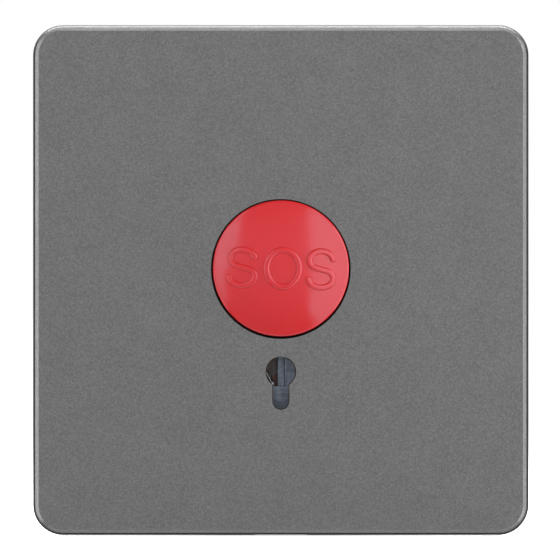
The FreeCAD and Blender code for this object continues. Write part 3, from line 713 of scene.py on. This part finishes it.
@dataclass(frozen=True)
class Screw:
    """Zinc-plated pan-head screw with a cross recess, modelled once about an axis along Y and copied."""

    shank: float
    head: float
    head_height: float
    length: float
    tip: float = 0.02
    point: float = 0.7          # of the shank's radius
    point_length: float = 0.12
    crown: float = 0.45         # of the head's height
    recess_width: float = 0.3   # of the head's radius
    recess_reach: float = 0.68  # of the head's radius
    recess_depth: float = 0.55  # of the head's height
    recess_taper: float = 0.45  # its floor over its mouth
    cutter_over: float = 0.4    # what the cutter stands out of the head
    crown_flat: float = 0.12    # of the head's radius
    first_turn: float = 17.0    # degrees that the first recess stands at, as the driver left it
    next_turn: float = 41.0     # degrees from one recess to the next
    corners: int = 48

    def profile(self) -> list[Point]:
        """Radius and y from the point to the top of the head, whose seat is at y = 0.

        Returns:
            The profile in millimetres.
        """
        edge = self.head_height * self.crown
        crown = [
            (self.head - edge + edge * math.cos(t), self.head_height - edge + edge * math.sin(t))
            for t in map(math.radians, (0, 22, 45, 68, 90))
        ]
        point = self.shank * self.point
        return [
            (self.tip, -self.length), (point, self.point_length - self.length),
            (self.shank, point - self.length), (self.shank, 0.0), (self.head, 0.0),
            *crown, (self.head * self.crown_flat, self.head_height),
        ]

    def cutter(self) -> Piece:
        """A tapered cross that sinks into the head.

        Returns:
            The cutting body.
        """
        wide, long = self.head * self.recess_width, 2 * self.head * self.recess_reach
        taper = (self.recess_taper, 1, self.recess_taper)
        top = (self.head_height + self.cutter_over) * MM
        floor = self.head_height * (1 - self.recess_depth) * MM
        bars = []
        for turn in (0.0, math.pi / 2):
            bar = primitive("cutter", bpy.ops.mesh.primitive_cube_add, size=MM)
            edit_all()
            bpy.ops.transform.resize(value=(long, (top - floor) / MM, wide), center_override=(0, 0, 0))
            bpy.ops.transform.rotate(value=turn, orient_axis="Y", center_override=(0, 0, 0))
            bpy.ops.transform.translate(value=(0, (top + floor) / 2, 0))
            select_where(bar, lambda p: p.y < 0.5 * (top + floor))
            bpy.ops.transform.resize(value=taper, center_override=(0, floor, 0))
            bpy.ops.object.mode_set(mode="OBJECT")
            bars.append(bar)
        combine(*bars, "UNION")
        return bars[0]

    def build(self, name: str, node: str, seats: Iterable[Vector], turn: float = 0.0) -> None:
        """Models the screw, copies it to its places and lets the copies stand for their node.

        Args:
            name: The piece's name.
            node: The CAD node with the screws.
            seats: For each screw the middle of its seat.
            turn: Turn about X that brings +Y to the screws' axis.
        """
        screw = turned(name, self.profile(), (0, 0), self.corners)
        combine(screw, self.cutter(), "DIFFERENCE")
        settle(screw, smooth_below=30.0)
        copies = []
        for index, seat in enumerate(seats):
            copy = add_object(f"{name}_{index}", screw.data.copy())
            driven = math.radians(self.first_turn + self.next_turn * index) if turn == 0 else 0
            copy.rotation_euler = (turn, driven, 0)
            copy.location = seat * MM
            copies.append(copy)
        bpy.data.objects.remove(screw)
        place(settle(join(copies, name), smooth_below=30.0), Finish.ZINC, node)


@dataclass
class PushButton:
    """The red cap with its raised letters, the plunger behind it, its screw and its spring."""

    radius: float = 11.8
    rim_y: float = -8.3
    dome_rise: float = 2.17                    # the raised letters reach the rest of the height
    dome_edge: float = 11.4
    rim_round: float = 0.62
    rim_slope: float = 0.9                     # height of the rim's rounding over its width
    rear_y: float = -4.0
    rear_round: float = 0.15
    seat_y: float = -7.4
    wall: float = 1.5
    inner_chamfer: float = 0.1
    boss_radius: float = 3.4
    boss_end: float = -4.6
    boss_chamfer: float = 0.2
    socket_radius: float = 2.32
    socket_end: float = -7.1
    pilot_radius: float = 0.4
    play: Point = (0.03, 0.1)                  # the cap hangs this far off centre in its hole
    stroke: float = 1.06
    letter_profile: tuple[Point, ...] = (      # share of the stroke's half width, and rise
        (0.0, 0.295), (0.4, 0.29), (0.6, 0.25), (0.8, 0.17), (1.0, 0.0),
    )
    letter_steps: int = 10                     # across the stroke
    letter_root: float = 0.15                  # depth in the dome
    letter_turn: float = -1.5                  # degrees that the word is turned in the hole
    letter_x: Place = (-6.72, 0.34, 6.9)
    left_s: Place = (2.1, 2.25, 3.1)           # half widths of the bowls, and half height
    right_s: Place = (2.05, 2.2, 3.15)
    oval: Point = (2.85, 3.2)                  # half width and half height of the round letter
    oval_corners: int = 80
    cap_corners: int = 144
    bowl_sweep: float = 214.0                  # degrees of each bowl of an S
    bowl_starts: Point = (8.0, 42.0)           # degrees where the upper and the lower bowl start
    spine_pull: float = 2.0                    # how straight the spine leaves the bowls
    end_angles: tuple[float, ...] = (80, 71, 62, 52, 42, 31, 21, 10)     # degrees, round ends of a stroke
    spring_radius: float = 4.25
    spring_wire: float = 0.7
    spring_turns: float = 3.0
    spring_steps: int = 40                     # points in a turn
    spring_gap: float = 0.1
    spring_closing: float = 0.11               # share of the pitch that the end turns give up
    floor_y: float = 0.5
    spring_keep: float = 0.44                  # length at full press over length at rest
    plunger_edge: float = 0.1
    plunger_back: float = 7.4                  # the cap screw's head ends here
    screw: Screw = Screw(shank=1.0, head=1.9, head_height=1.1, length=13.5)

    def centre(self) -> Point:
        """The cap's axis as x and z."""
        return self.play[0], AXIS_Z + self.play[1]

    def dome_y(self, reach: float) -> float:
        """The dome's y at a distance from the axis.

        Args:
            reach: Distance from the axis in millimetres.

        Returns:
            The y of the dome's surface in millimetres.
        """
        sphere = (self.dome_edge ** 2 + self.dome_rise ** 2) / (2 * self.dome_rise)
        return self.rim_y - self.dome_rise + sphere - math.sqrt(sphere ** 2 - min(reach, sphere) ** 2)

    def cap_profile(self) -> list[Point]:
        """The cap's section from the socket round the outside to the dome's centre.

        Returns:
            Radius and y in millimetres.
        """
        inner = self.radius - self.wall
        start = self.radius - self.rim_round
        high = self.rim_round * self.rim_slope
        rim = [
            (start + self.rim_round * math.cos(t), self.dome_y(start) + high * (1 - math.sin(t)))
            for t in map(math.radians, range(0, 61, 12))
        ]
        dome = [(start * share, self.dome_y(start * share)) for share in (
            0.995, 0.98, 0.96, 0.93, 0.9, 0.86, 0.82, 0.77, 0.72, 0.66, 0.6,
            0.53, 0.46, 0.38, 0.3, 0.22, 0.14, 0.07, 0.02,
        )]
        return [
            (self.pilot_radius, self.socket_end), (self.socket_radius, self.socket_end),
            (self.socket_radius, self.boss_end), (self.boss_radius - self.boss_chamfer, self.boss_end),
            (self.boss_radius, self.boss_end - self.boss_chamfer), (self.boss_radius, self.seat_y),
            (inner, self.seat_y), (inner, self.rear_y - self.inner_chamfer),
            (inner + self.inner_chamfer, self.rear_y), (self.radius - self.rear_round, self.rear_y),
            (self.radius, self.rear_y - self.rear_round), *rim, *dome,
        ]

    def s_line(self, upper: float, lower: float, rise: float) -> list[Point]:
        """Centre line of an S: an upper bowl, a slanting spine and a lower bowl.

        Args:
            upper: Half width of the upper bowl.
            lower: Half width of the lower bowl.
            rise: Half height of the letter's centre line.

        Returns:
            Points from the upper end to the lower one.
        """
        half = rise / 2
        steps, spine_steps, shift = 22, 8, 0.03
        sweep = [self.bowl_sweep * i / steps for i in range(steps + 1)]
        head = [Vector((shift + upper * math.cos(t), half + half * math.sin(t)))
                for t in (math.radians(self.bowl_starts[0] + a) for a in sweep)]
        foot = [Vector((lower * math.cos(t), half * math.sin(t) - half))
                for t in (math.radians(self.bowl_starts[1] - a) for a in sweep)]
        leave = (head[-1] - head[-2]).normalized() * self.spine_pull
        arrive = (foot[1] - foot[0]).normalized() * self.spine_pull
        spine = []
        for t in (i / spine_steps for i in range(1, spine_steps)):
            blend = 3 * t ** 2 - 2 * t ** 3
            spine.append(head[-1] * (1 - blend) + foot[0] * blend
                         + leave * (t ** 3 - 2 * t ** 2 + t) + arrive * (t ** 3 - t ** 2))
        return [tuple(point) for point in head + spine + foot]

    def oval_line(self) -> list[Point]:
        """Centre line of the round letter.

        Returns:
            Points once round.
        """
        steps = 96
        turns = [FULL_TURN * i / steps for i in range(steps + 1)]
        return [(self.oval[0] * math.cos(turn), self.oval[1] * math.sin(turn)) for turn in turns]

    def stations(self, line: Sequence[Point]) -> list[tuple[Vector, float, float]]:
        """Places across a round-ended stroke.

        Args:
            line: The stroke's centre line in millimetres.

        Returns:
            Middle, heading and half width of each place, in metres and radians.
        """
        half = self.stroke / 2 * MM
        spots = [Vector((x, y, 0)) * MM for x, y in line]
        steps = [there - here for here, there in zip(spots[:1] + spots[:-1], spots[1:] + spots[-1:])]
        heads = [math.atan2(step.y, step.x) for step in steps]
        body = [(spot, head, half) for spot, head in zip(spots, heads)]
        ends = []
        for (spot, head, _), outwards in ((body[0], -half), (body[-1], half)):
            ahead = Vector((math.cos(head), math.sin(head), 0)) * outwards
            ends.append([(spot + ahead * math.sin(t), head, half * math.cos(t))
                         for t in map(math.radians, self.end_angles)])
        return ends[0] + body + ends[1][::-1]

    def ribbon(self, name: str, line: Sequence[Point]) -> Piece:
        """Lays a flat round-ended stroke along a line by extruding one edge from step to step.

        Args:
            name: The piece's name.
            line: The stroke's centre line in millimetres.

        Returns:
            The flat stroke in the XY plane, in edit mode.
        """
        stations = self.stations(line)
        spot, head, width = stations[0]
        direction = Vector((math.cos(head), math.sin(head), 0))
        piece = primitive(name, bpy.ops.mesh.primitive_plane_add, size=2 * width,
                          location=spot - direction * width, rotation=(0, 0, head))
        bpy.ops.object.mode_set(mode="EDIT")
        select_where(piece, lambda p: (p - spot).dot(direction) < -width)
        bpy.ops.mesh.delete(type="VERT")
        bpy.ops.mesh.select_all(action="SELECT")
        bpy.ops.mesh.subdivide(number_cuts=self.letter_steps - 1)
        for (s0, h0, w0), (s1, h1, w1) in zip(stations, stations[1:]):
            bpy.ops.mesh.extrude_region_move(TRANSFORM_OT_translate={"value": s1 - s0})
            turn = (h1 - h0 + math.pi) % FULL_TURN - math.pi
            bpy.ops.transform.rotate(value=-turn, orient_axis="Z", center_override=s1)
            bpy.ops.transform.resize(value=(w1 / w0, w1 / w0, 1), center_override=s1)
        face_outwards()
        return piece

    def ring(self, name: str, line: Sequence[Point]) -> Piece:
        """Lays the flat oval of the round letter.

        Args:
            name: The piece's name.
            line: The stroke's centre line in millimetres.

        Returns:
            The flat oval in the XY plane, in edit mode.
        """
        half = self.stroke / 2
        wide, high = (max(values) for values in zip(*line))
        piece = primitive(name, bpy.ops.mesh.primitive_circle_add, vertices=self.oval_corners, radius=MM,
                          fill_type="NOTHING")
        edit_all()
        bpy.ops.transform.resize(value=(wide - half, high - half, 1), center_override=(0, 0, 0))
        offsets = [half * (2 * i / self.letter_steps - 1) for i in range(self.letter_steps + 1)]
        for here, there in zip(offsets, offsets[1:]):
            bpy.ops.mesh.extrude_region_move()
            grow = ((wide + there) / (wide + here), (high + there) / (high + here), 1)
            bpy.ops.transform.resize(value=grow, center_override=(0, 0, 0))
        face_outwards()
        return piece

    def rise(self, spot: Vector, line: Sequence[Point]) -> float:
        """The letter's height over the dome at a place, from its distance to the stroke's centre line.

        Args:
            spot: The place on the flat letter in millimetres.
            line: The stroke's centre line in millimetres.

        Returns:
            The height in millimetres.
        """
        off = self.stroke
        for start, end in zip(line, line[1:]):
            along = Vector(end) - Vector(start)
            from_start = spot - Vector(start)
            share = min(max(from_start.dot(along) / along.length_squared, 0.0), 1.0)
            off = min(off, (from_start - along * share).length)
        off /= self.stroke / 2
        for (inner, top), (outer, low) in zip(self.letter_profile, self.letter_profile[1:]):
            if off <= outer:
                return top + (low - top) * (off - inner) / (outer - inner)
        return 0.0

    def raise_letter(self, piece: Piece, line: Sequence[Point], shift: float) -> Piece:
        """Thickens a flat letter, crowns its stroke, stands it up and lays it on the dome.

        Args:
            piece: The flat letter, in edit mode.
            line: The centre line of its stroke in millimetres.
            shift: Where its middle goes, from the cap's axis, in millimetres.

        Returns:
            The letter, in object mode.
        """
        mesh = bmesh.from_edit_mesh(piece.data)
        if sum(f.normal.z for f in mesh.faces) < 0:
            bpy.ops.mesh.flip_normals()
        bpy.ops.mesh.select_mode(type="FACE")
        bpy.ops.mesh.select_all(action="SELECT")
        bpy.ops.transform.translate(value=(0, 0, -self.letter_root * MM))
        bpy.ops.mesh.extrude_region_move(TRANSFORM_OT_translate={"value": (0, 0, self.letter_root * MM)})
        bpy.ops.object.mode_set(mode="OBJECT")
        only(piece)
        bpy.ops.object.transform_apply(location=True, rotation=True, scale=True)
        turn = math.radians(self.letter_turn)
        cap_x, cap_z = self.centre()
        for vertex in piece.data.vertices:
            across, up, height = vertex.co / MM
            if height > -self.letter_root / 2:
                height += self.rise(Vector((across, up)), line)
            across += shift
            x = across * math.cos(turn) - up * math.sin(turn)
            z = across * math.sin(turn) + up * math.cos(turn)
            vertex.co = Vector((cap_x + x, self.dome_y(math.hypot(x, z)) - height, cap_z + z)) * MM
        return piece

    def letters(self) -> Piece:
        """Makes the three raised letters as one moulding.

        Returns:
            The letters.
        """
        pieces = []
        for name, lay, line, shift in (
            ("letter_left", self.ribbon, self.s_line(*self.left_s), self.letter_x[0]),
            ("letter_middle", self.ring, self.oval_line(), self.letter_x[1]),
            ("letter_right", self.ribbon, self.s_line(*self.right_s), self.letter_x[2]),
        ):
            pieces.append(self.raise_letter(lay(name, line), line, shift))
        piece = join(pieces, "button_letters")
        edit_all()
        face_outwards()
        bpy.ops.object.mode_set(mode="OBJECT")
        return settle(piece, smooth_below=60.0)

    def spring(self) -> Piece:
        """Winds the return spring, closed up a little at both ends.

        Returns:
            The spring.
        """
        start = self.seat_y + self.spring_gap + self.spring_wire / 2
        end = self.floor_y - self.spring_gap - self.spring_wire / 2
        steps = round(self.spring_turns * self.spring_steps)
        points = []
        for share in (i / steps for i in range(steps + 1)):
            rise = share - self.spring_closing * math.sin(FULL_TURN * share)
            turn = FULL_TURN * self.spring_turns * share
            points.append(Vector((
                self.spring_radius * math.cos(turn), start + (end - start) * rise,
                AXIS_Z + self.spring_radius * math.sin(turn),
            )))
        return wire_along("return_spring", points, self.spring_wire)

    def build(self) -> None:
        """Builds and dresses the push button."""
        shell = turned("button_cap_shell", self.cap_profile(), self.centre(), self.cap_corners)
        place(settle(shell, smooth_below=35.0), Finish.CAP, "button_cap")
        place(self.letters(), Finish.CAP, "button_cap", stands_for=False)
        spring = self.spring()
        place(spring, Finish.WIRE, "button_spring")
        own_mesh(spring)
        soften("plunger", "plunger_moulding", self.plunger_edge, Finish.MECHANISM)
        seat = Vector((0, self.plunger_back - self.screw.head_height, AXIS_Z))
        self.screw.build("cap_screw_head", "cap_screw", [seat])


@dataclass
class Cover:
    """The front cover: a sprayed moulding with a bevelled front edge, bare inside its two holes, where the
    dark brown is also painted shade of the holes' edges.
    """

    face_y: float = -8.0
    face_back: float = -6.5     # what lies behind this isn't the holes' front edge
    bevel_y: float = -7.27      # where the flat bevel meets the side
    half_size: Point = (43.0, 44.25)
    edge: float = 0.1
    side_round: float = 0.22    # the paint's soft edge between bevel and side
    hole_round: float = 0.07
    hole_lip: float = 0.12      # how far the moulding's bare lip closes in behind the keyhole's edge; its dark brown is partly painted shade
    head: Point = (-15.88, 2.63)     # z and radius of the keyhole's head
    foot: Point = (-20.975, 1.455)   # z and radius of its slot's end
    neck: float = -18.2              # z between the two
    hole: Place = (0.0, AXIS_Z, 13.0)     # x, z and reach of the button's hole
    keyhole: Place = (0.0, -18.5, 5.2)    # the same for the keyhole
    slack: float = 0.02         # how near a corner has to be to count as on a line
    rim_share: float = 0.9      # of the half size, beyond which an edge is an outer one
    front_normal: float = -0.93      # y of a normal, above which a face isn't part of the front

    def at_hole(self, spot: Vector, *holes: Place) -> bool:
        """Whether a place lies at one of the holes.

        Args:
            spot: The place in metres.
            *holes: Each hole's x, z and reach.

        Returns:
            True at a hole.
        """
        return any(math.hypot(spot.x / MM - x, spot.z / MM - z) < reach for x, z, reach in holes)

    def at_bevel(self, spot: Vector) -> bool:
        """Whether a place lies on the outer edge between bevel and side.

        Args:
            spot: The place in metres.

        Returns:
            True on that edge.
        """
        x, y, z = spot / MM
        outer = max(abs(x) / self.half_size[0], abs(z) / self.half_size[1]) > self.rim_share
        return outer and abs(y - self.bevel_y) < self.slack

    def rounded_copy(self) -> Piece:
        """Copies the cover with softer edges and a lip behind the keyhole's edge.

        Returns:
            The copy.
        """
        piece = merged_copy("front_cover", "cover_moulding")
        bpy.ops.object.mode_set(mode="EDIT")
        select_where(piece, lambda p: abs(p.y / MM - self.face_y) < self.slack
                     and self.at_hole(p, self.keyhole))
        bpy.ops.mesh.bevel(offset=self.hole_round * MM, segments=3, affect="EDGES")
        select_where(piece, self.at_bevel)
        bpy.ops.mesh.bevel(offset=self.side_round * MM, segments=4, affect="EDGES")
        for (middle, radius), wide, tall, belongs in (
            (self.head, 1, 1, lambda z: z > self.neck),
            (self.foot, 1, 0, lambda z: z <= self.neck),
            (self.foot, 0, 1, lambda z: z < self.foot[0] - self.slack),
        ):
            select_where(piece, lambda p: p.y / MM > self.face_back and belongs(p.z / MM)
                         and self.at_hole(p, self.keyhole))
            lip = self.hole_lip / radius
            bpy.ops.transform.resize(value=(1 - lip * wide, 1, 1 - lip * tall),
                                     center_override=(0, 0, middle * MM))
        bpy.ops.object.mode_set(mode="OBJECT")
        return round_edges(piece, self.edge, 3)

    def build(self) -> None:
        """Builds and dresses the cover."""
        shell = self.rounded_copy()
        place(shell, Finish.COVER, "front_cover")
        # Faces inside the holes get the dark bare plastic, partly painted shade of the holes' edges.
        shell.data.materials.append(Finish.BARE_EDGE_SHADE.material())
        corners = shell.data.vertices
        for face in shell.data.polygons:
            inside = all(self.at_hole(corners[i].co, self.hole, self.keyhole) for i in face.vertices)
            if face.normal.y > self.front_normal and inside:
                face.material_index = 1


@dataclass
class Latch:
    """The steel plate that holds the button in, and its torsion spring."""

    tip: Point = (-1.5, -18.02)
    leg_angle: float = -63.0
    leg_length: float = 11.0
    wire: float = 0.6
    coil_radius: float = 1.9
    coil_turns: float = 2.0
    coil_steps: int = 36        # points in a turn
    pitch: float = 0.72
    fixed_leg: float = 5.2
    hook: float = 1.2
    bend: float = 0.45
    leg_y: float = 4.1
    plate_lift: float = 1.5986
    plate_edge: float = 0.06

    def leg(self) -> tuple[Vector, Vector, Vector]:
        """The free leg.

        Returns:
            Its tip, its direction from the coil to the tip, and the coil's middle.
        """
        turn = math.radians(self.leg_angle)
        along = Vector((math.cos(turn), 0, math.sin(turn)))
        tip = Vector((self.tip[0], self.leg_y, self.tip[1]))
        side = Vector((along.z, 0, -along.x))
        return tip, along, tip - along * self.leg_length + side * self.coil_radius

    def spring(self) -> Piece:
        """Bends the torsion spring: hook, free leg, coil and fixed leg.

        Returns:
            The spring.
        """
        tip, along, centre = self.leg()
        start = math.atan2(along.x, -along.z)
        wound = FULL_TURN * self.coil_turns + math.pi / 2 - start
        steps = round(wound / FULL_TURN * self.coil_steps)
        points = [tip - Vector((0, self.hook, 0))]
        points += [
            tip - Vector((0, self.bend * (1 - math.sin(t)), 0)) - along * self.bend * (1 - math.cos(t))
            for t in map(math.radians, (0, 30, 60, 90))
        ]
        for share in (i / steps for i in range(steps + 1)):
            t = start + wound * share
            points.append(centre + Vector((
                self.coil_radius * math.cos(t), self.pitch * wound / FULL_TURN * share,
                self.coil_radius * math.sin(t),
            )))
        points.append(points[-1] - Vector((self.fixed_leg, 0, 0)))
        return wire_along("lock_spring_wire", points, self.wire)

    def build(self) -> None:
        """Builds and dresses the latch."""
        soften("lock_plate", "latch_plate", self.plate_edge, Finish.LOCK_STEEL)
        spring = self.spring()
        place(spring, Finish.WIRE, "lock_spring")
        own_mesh(spring)


@dataclass
class Carrier:
    """The mounting frame, and the guide bridge screwed to its floor."""

    bridge_back: float = 5.9
    bridge_screw: Point = (13.1, 6.4)      # x and z from the button's axis
    edge: float = 0.12
    screw: Screw = Screw(shank=1.1, head=1.9, head_height=1.2, length=5.6)

    def build(self) -> None:
        """Builds and dresses the frame and the bridge."""
        soften("mounting_frame", "frame_moulding", self.edge, Finish.FRAME)
        soften("guide_bridge", "bridge_moulding", self.edge, Finish.BRIDGE)
        x, z = self.bridge_screw
        seats = [Vector((x * side, self.bridge_back, AXIS_Z - z * side)) for side in (-1, 1)]
        self.screw.build("bridge_screw_pair", "bridge_screws", seats)


@dataclass
class SnapSwitch:
    """The snap-action switch: case, lid, pin, lever, terminals and its two screws."""

    case_high: float = 7.07
    holes: tuple[Point, Point] = ((-14.1, 26.957), (8.1, 16.657))     # x and y
    case_edge: float = 0.08
    lid_edge: float = 0.1
    lever_edge: float = 0.04
    blade_edge: float = 0.06
    screw: Screw = Screw(shank=1.5, head=2.8, head_height=1.8, length=12.2)

    def build(self) -> None:
        """Builds and dresses the switch."""
        soften("switch_case", "switch_case_moulding", self.case_edge, Finish.SWITCH)
        soften("switch_cover", "switch_lid", self.lid_edge, Finish.SWITCH)
        dress("switch_pin", Finish.SWITCH_PIN)
        soften("switch_lever", "switch_lever_strip", self.lever_edge, Finish.STEEL)
        dress("lever_pin", Finish.ZINC)
        for contact in ("common", "normally_open", "normally_closed"):
            soften(f"terminal_{contact}", f"blade_{contact}", self.blade_edge, Finish.BRASS)
        seats = [Vector((x, y, self.case_high)) for x, y in self.holes]
        self.screw.build("switch_screw_pair", "switch_screws", seats, math.pi / 2)


@dataclass
class RearHousing:
    """The cup that closes the mechanism from behind, and its two screws."""

    flange_back: float = 4.1
    places: tuple[Point, Point] = ((17.6, 19.6), (-17.6, -27.8))      # x and z
    edge: float = 0.18
    screw: Screw = Screw(shank=1.2, head=2.1, head_height=1.5, length=6.4)

    def build(self) -> None:
        """Builds and dresses the housing."""
        soften("rear_housing", "housing_moulding", self.edge, Finish.HOUSING)
        seats = [Vector((x, self.flange_back, z)) for x, z in self.places]
        self.screw.build("housing_screw_pair", "housing_screws", seats)


# Studio
@dataclass
class Softbox:
    """A flat lamp, in metres."""

    name: str
    spot: Place
    aim: Place
    width: float
    height: float
    radiance: float

    def build(self) -> None:
        """Adds the lamp, turned so that its width lies level."""
        lamp = bpy.data.lights.new(self.name, "AREA")
        lamp.shape = "RECTANGLE"
        lamp.size = self.width
        lamp.size_y = self.height
        lamp.energy = self.radiance * math.pi * self.width * self.height
        holder = add_object(self.name, lamp)
        holder.location = self.spot
        holder.rotation_euler = (Vector(self.aim) - Vector(self.spot)).to_track_quat("-Z", "Y").to_euler()
        holder.visible_camera = False


@dataclass
class Studio:
    """Pale floor, soft lamps, white surroundings and the camera of a straight front view."""

    floor_z: float = -44.3
    floor_size: float = 30.0      # metres
    floor_grain: float = 25.0     # mm
    picture: int = 560            # pixels, square
    scale: float = 5.760          # pixels for a millimetre, at the plate's back edge
    lens: float = 1000.0          # mm, long, because the picture shows no side of the plate
    sensor: float = 36.0          # mm
    centre: Point = (-0.14, 0.015)
    ambient: float = 0.09         # white is 1
    front: float = 0.675          # brighter towards the person who faces the plate
    behind: float = 0.02
    boxes: tuple[Softbox, ...] = (
        Softbox("right_softbox", (0.55, -0.92, 0.15), (0.0, -0.92, 0.15), 1.3, 2.0, 2.35),
        Softbox("left_softbox", (-0.55, -0.64, 0.6), (0.0, -0.64, 0.6), 0.7, 0.75, 2.5),
        Softbox("left_middle_light", (-0.55, -0.66, 0.11), (0.0, -0.66, 0.11), 0.34, 0.23, 2.4),
        Softbox("left_low_light", (-0.55, -0.62, -0.19), (0.0, -0.62, -0.19), 0.2, 0.37, 2.4),
        Softbox("right_edge_light", (0.6, -0.16, 0.0), (0.0, -0.16, 0.0), 0.26, 1.0, 5.9),
        Softbox("left_edge_light", (-0.6, -0.06, 0.0), (0.0, -0.06, 0.0), 0.26, 1.0, 3.9),
        Softbox("top_softbox", (0.0, 0.2, 0.55), (0.0, 0.0, 0.0), 0.9, 0.45, 2.8),
        Softbox("rear_softbox", (0.0, 0.65, 0.95), (0.0, 0.0, 0.0), 1.2, 0.5, 8.5),
        Softbox("low_softbox", (0.0, -0.16, -0.6), (0.0, 0.0, 0.0), 1.0, 0.4, 2.1),
    )

    def floor(self) -> None:
        """Lays the pale floor, which keeps the object's shadow."""
        plane = primitive("floor", bpy.ops.mesh.primitive_plane_add, size=self.floor_size,
                          location=(0, 0, self.floor_z * MM))
        material, add, spot = new_material("pale_floor")
        path = add("LightPath")
        grain = add("TexNoise", {"Vector": spot, "Scale": 1 / (self.floor_grain * MM)})
        tone = add("Mix", {"Factor": grain, "A": linear("#F4F4F3"), "B": linear("#FAFAFA")}, data_type="RGBA")
        pale = add("BsdfDiffuse", {"Color": tone})
        dim = add("BsdfDiffuse", {"Color": linear("#D0D0D0")})
        away = add("VectorMath", {0: spot}, operation="LENGTH")
        lift = add("MapRange", {
            "Value": away, "From Min": 0.08, "From Max": 0.4, "To Min": 0.6, "To Max": 0.95,
        })
        glow = add("Emission", {"Color": (1.0, 1.0, 1.0, 1.0), "Strength": lift})
        lifted = add("AddShader", {0: pale, 1: glow})
        mixed = add("MixShader", {"Fac": path.outputs["Is Camera Ray"], 1: dim, 2: lifted})
        add("OutputMaterial", {"Surface": mixed})
        plane.data.materials.append(material)
        plane.visible_glossy = False      # so the low parts of the lamps still show in the gloss

    def surroundings(self) -> None:
        """White for the camera, and for all else a dim room that is brighter in front and behind."""
        world = bpy.data.worlds.new("studio")
        bpy.context.scene.world = world
        world.use_nodes = True
        world.node_tree.nodes.clear()
        add = partial(add_node, world.node_tree)
        path = add("LightPath")
        direction = add("SeparateXYZ", {"Vector": add("TexCoord").outputs["Generated"]})
        ahead, lift, back = (
            add("MapRange", {
                "Value": direction.outputs[axis], "From Min": start, "From Max": end,
                "To Min": low, "To Max": high,
            }, interpolation_type="SMOOTHSTEP")
            for axis, start, end, low, high in (
                ("Y", -0.55, -0.95, 0.0, self.front),
                ("Z", -0.5, 0.0, 0.35, 1.0),
                ("Y", 0.2, 0.9, 0.0, self.behind),
            )
        )
        person = add("Math", {0: ahead, 1: lift}, operation="MULTIPLY")
        room = add("Math", {0: person, 1: back}, operation="ADD")
        soft = add("Math", {0: room, 1: self.ambient}, operation="ADD")
        strength = add("Mix", {"Factor": path.outputs["Is Camera Ray"], "A": soft, "B": 1.0})
        sky = add("Background", {"Color": (1.0, 1.0, 1.0, 1.0), "Strength": strength})
        add("OutputWorld", {"Surface": sky})

    def camera(self) -> None:
        """Places the camera straight in front of the plate."""
        data = bpy.data.cameras.new("front_camera")
        data.lens = self.lens
        data.sensor_width = self.sensor
        data.clip_end = 100.0
        camera = add_object("front_camera", data)
        distance = self.picture / self.scale * self.lens / self.sensor
        camera.location = (self.centre[0] * MM, -distance * MM, self.centre[1] * MM)
        camera.rotation_euler = (math.pi / 2, 0, 0)
        bpy.context.scene.camera = camera

    def build(self) -> None:
        """Builds the studio."""
        self.floor()
        self.surroundings()
        self.camera()
        for box in self.boxes:
            box.build()
        bpy.context.scene.view_settings.view_transform = "Standard"


def main() -> None:
    """Builds every sub-assembly in order."""
    logging.basicConfig(level=logging.INFO, format="%(name)s %(message)s")
    for assembly in (Cover(), PushButton(), Latch(), Carrier(), SnapSwitch(), RearHousing()):
        LOG.info("building %s", type(assembly).__name__)
        assembly.build()
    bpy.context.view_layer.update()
    Studio().build()


if __name__ == "__main__":
    main()
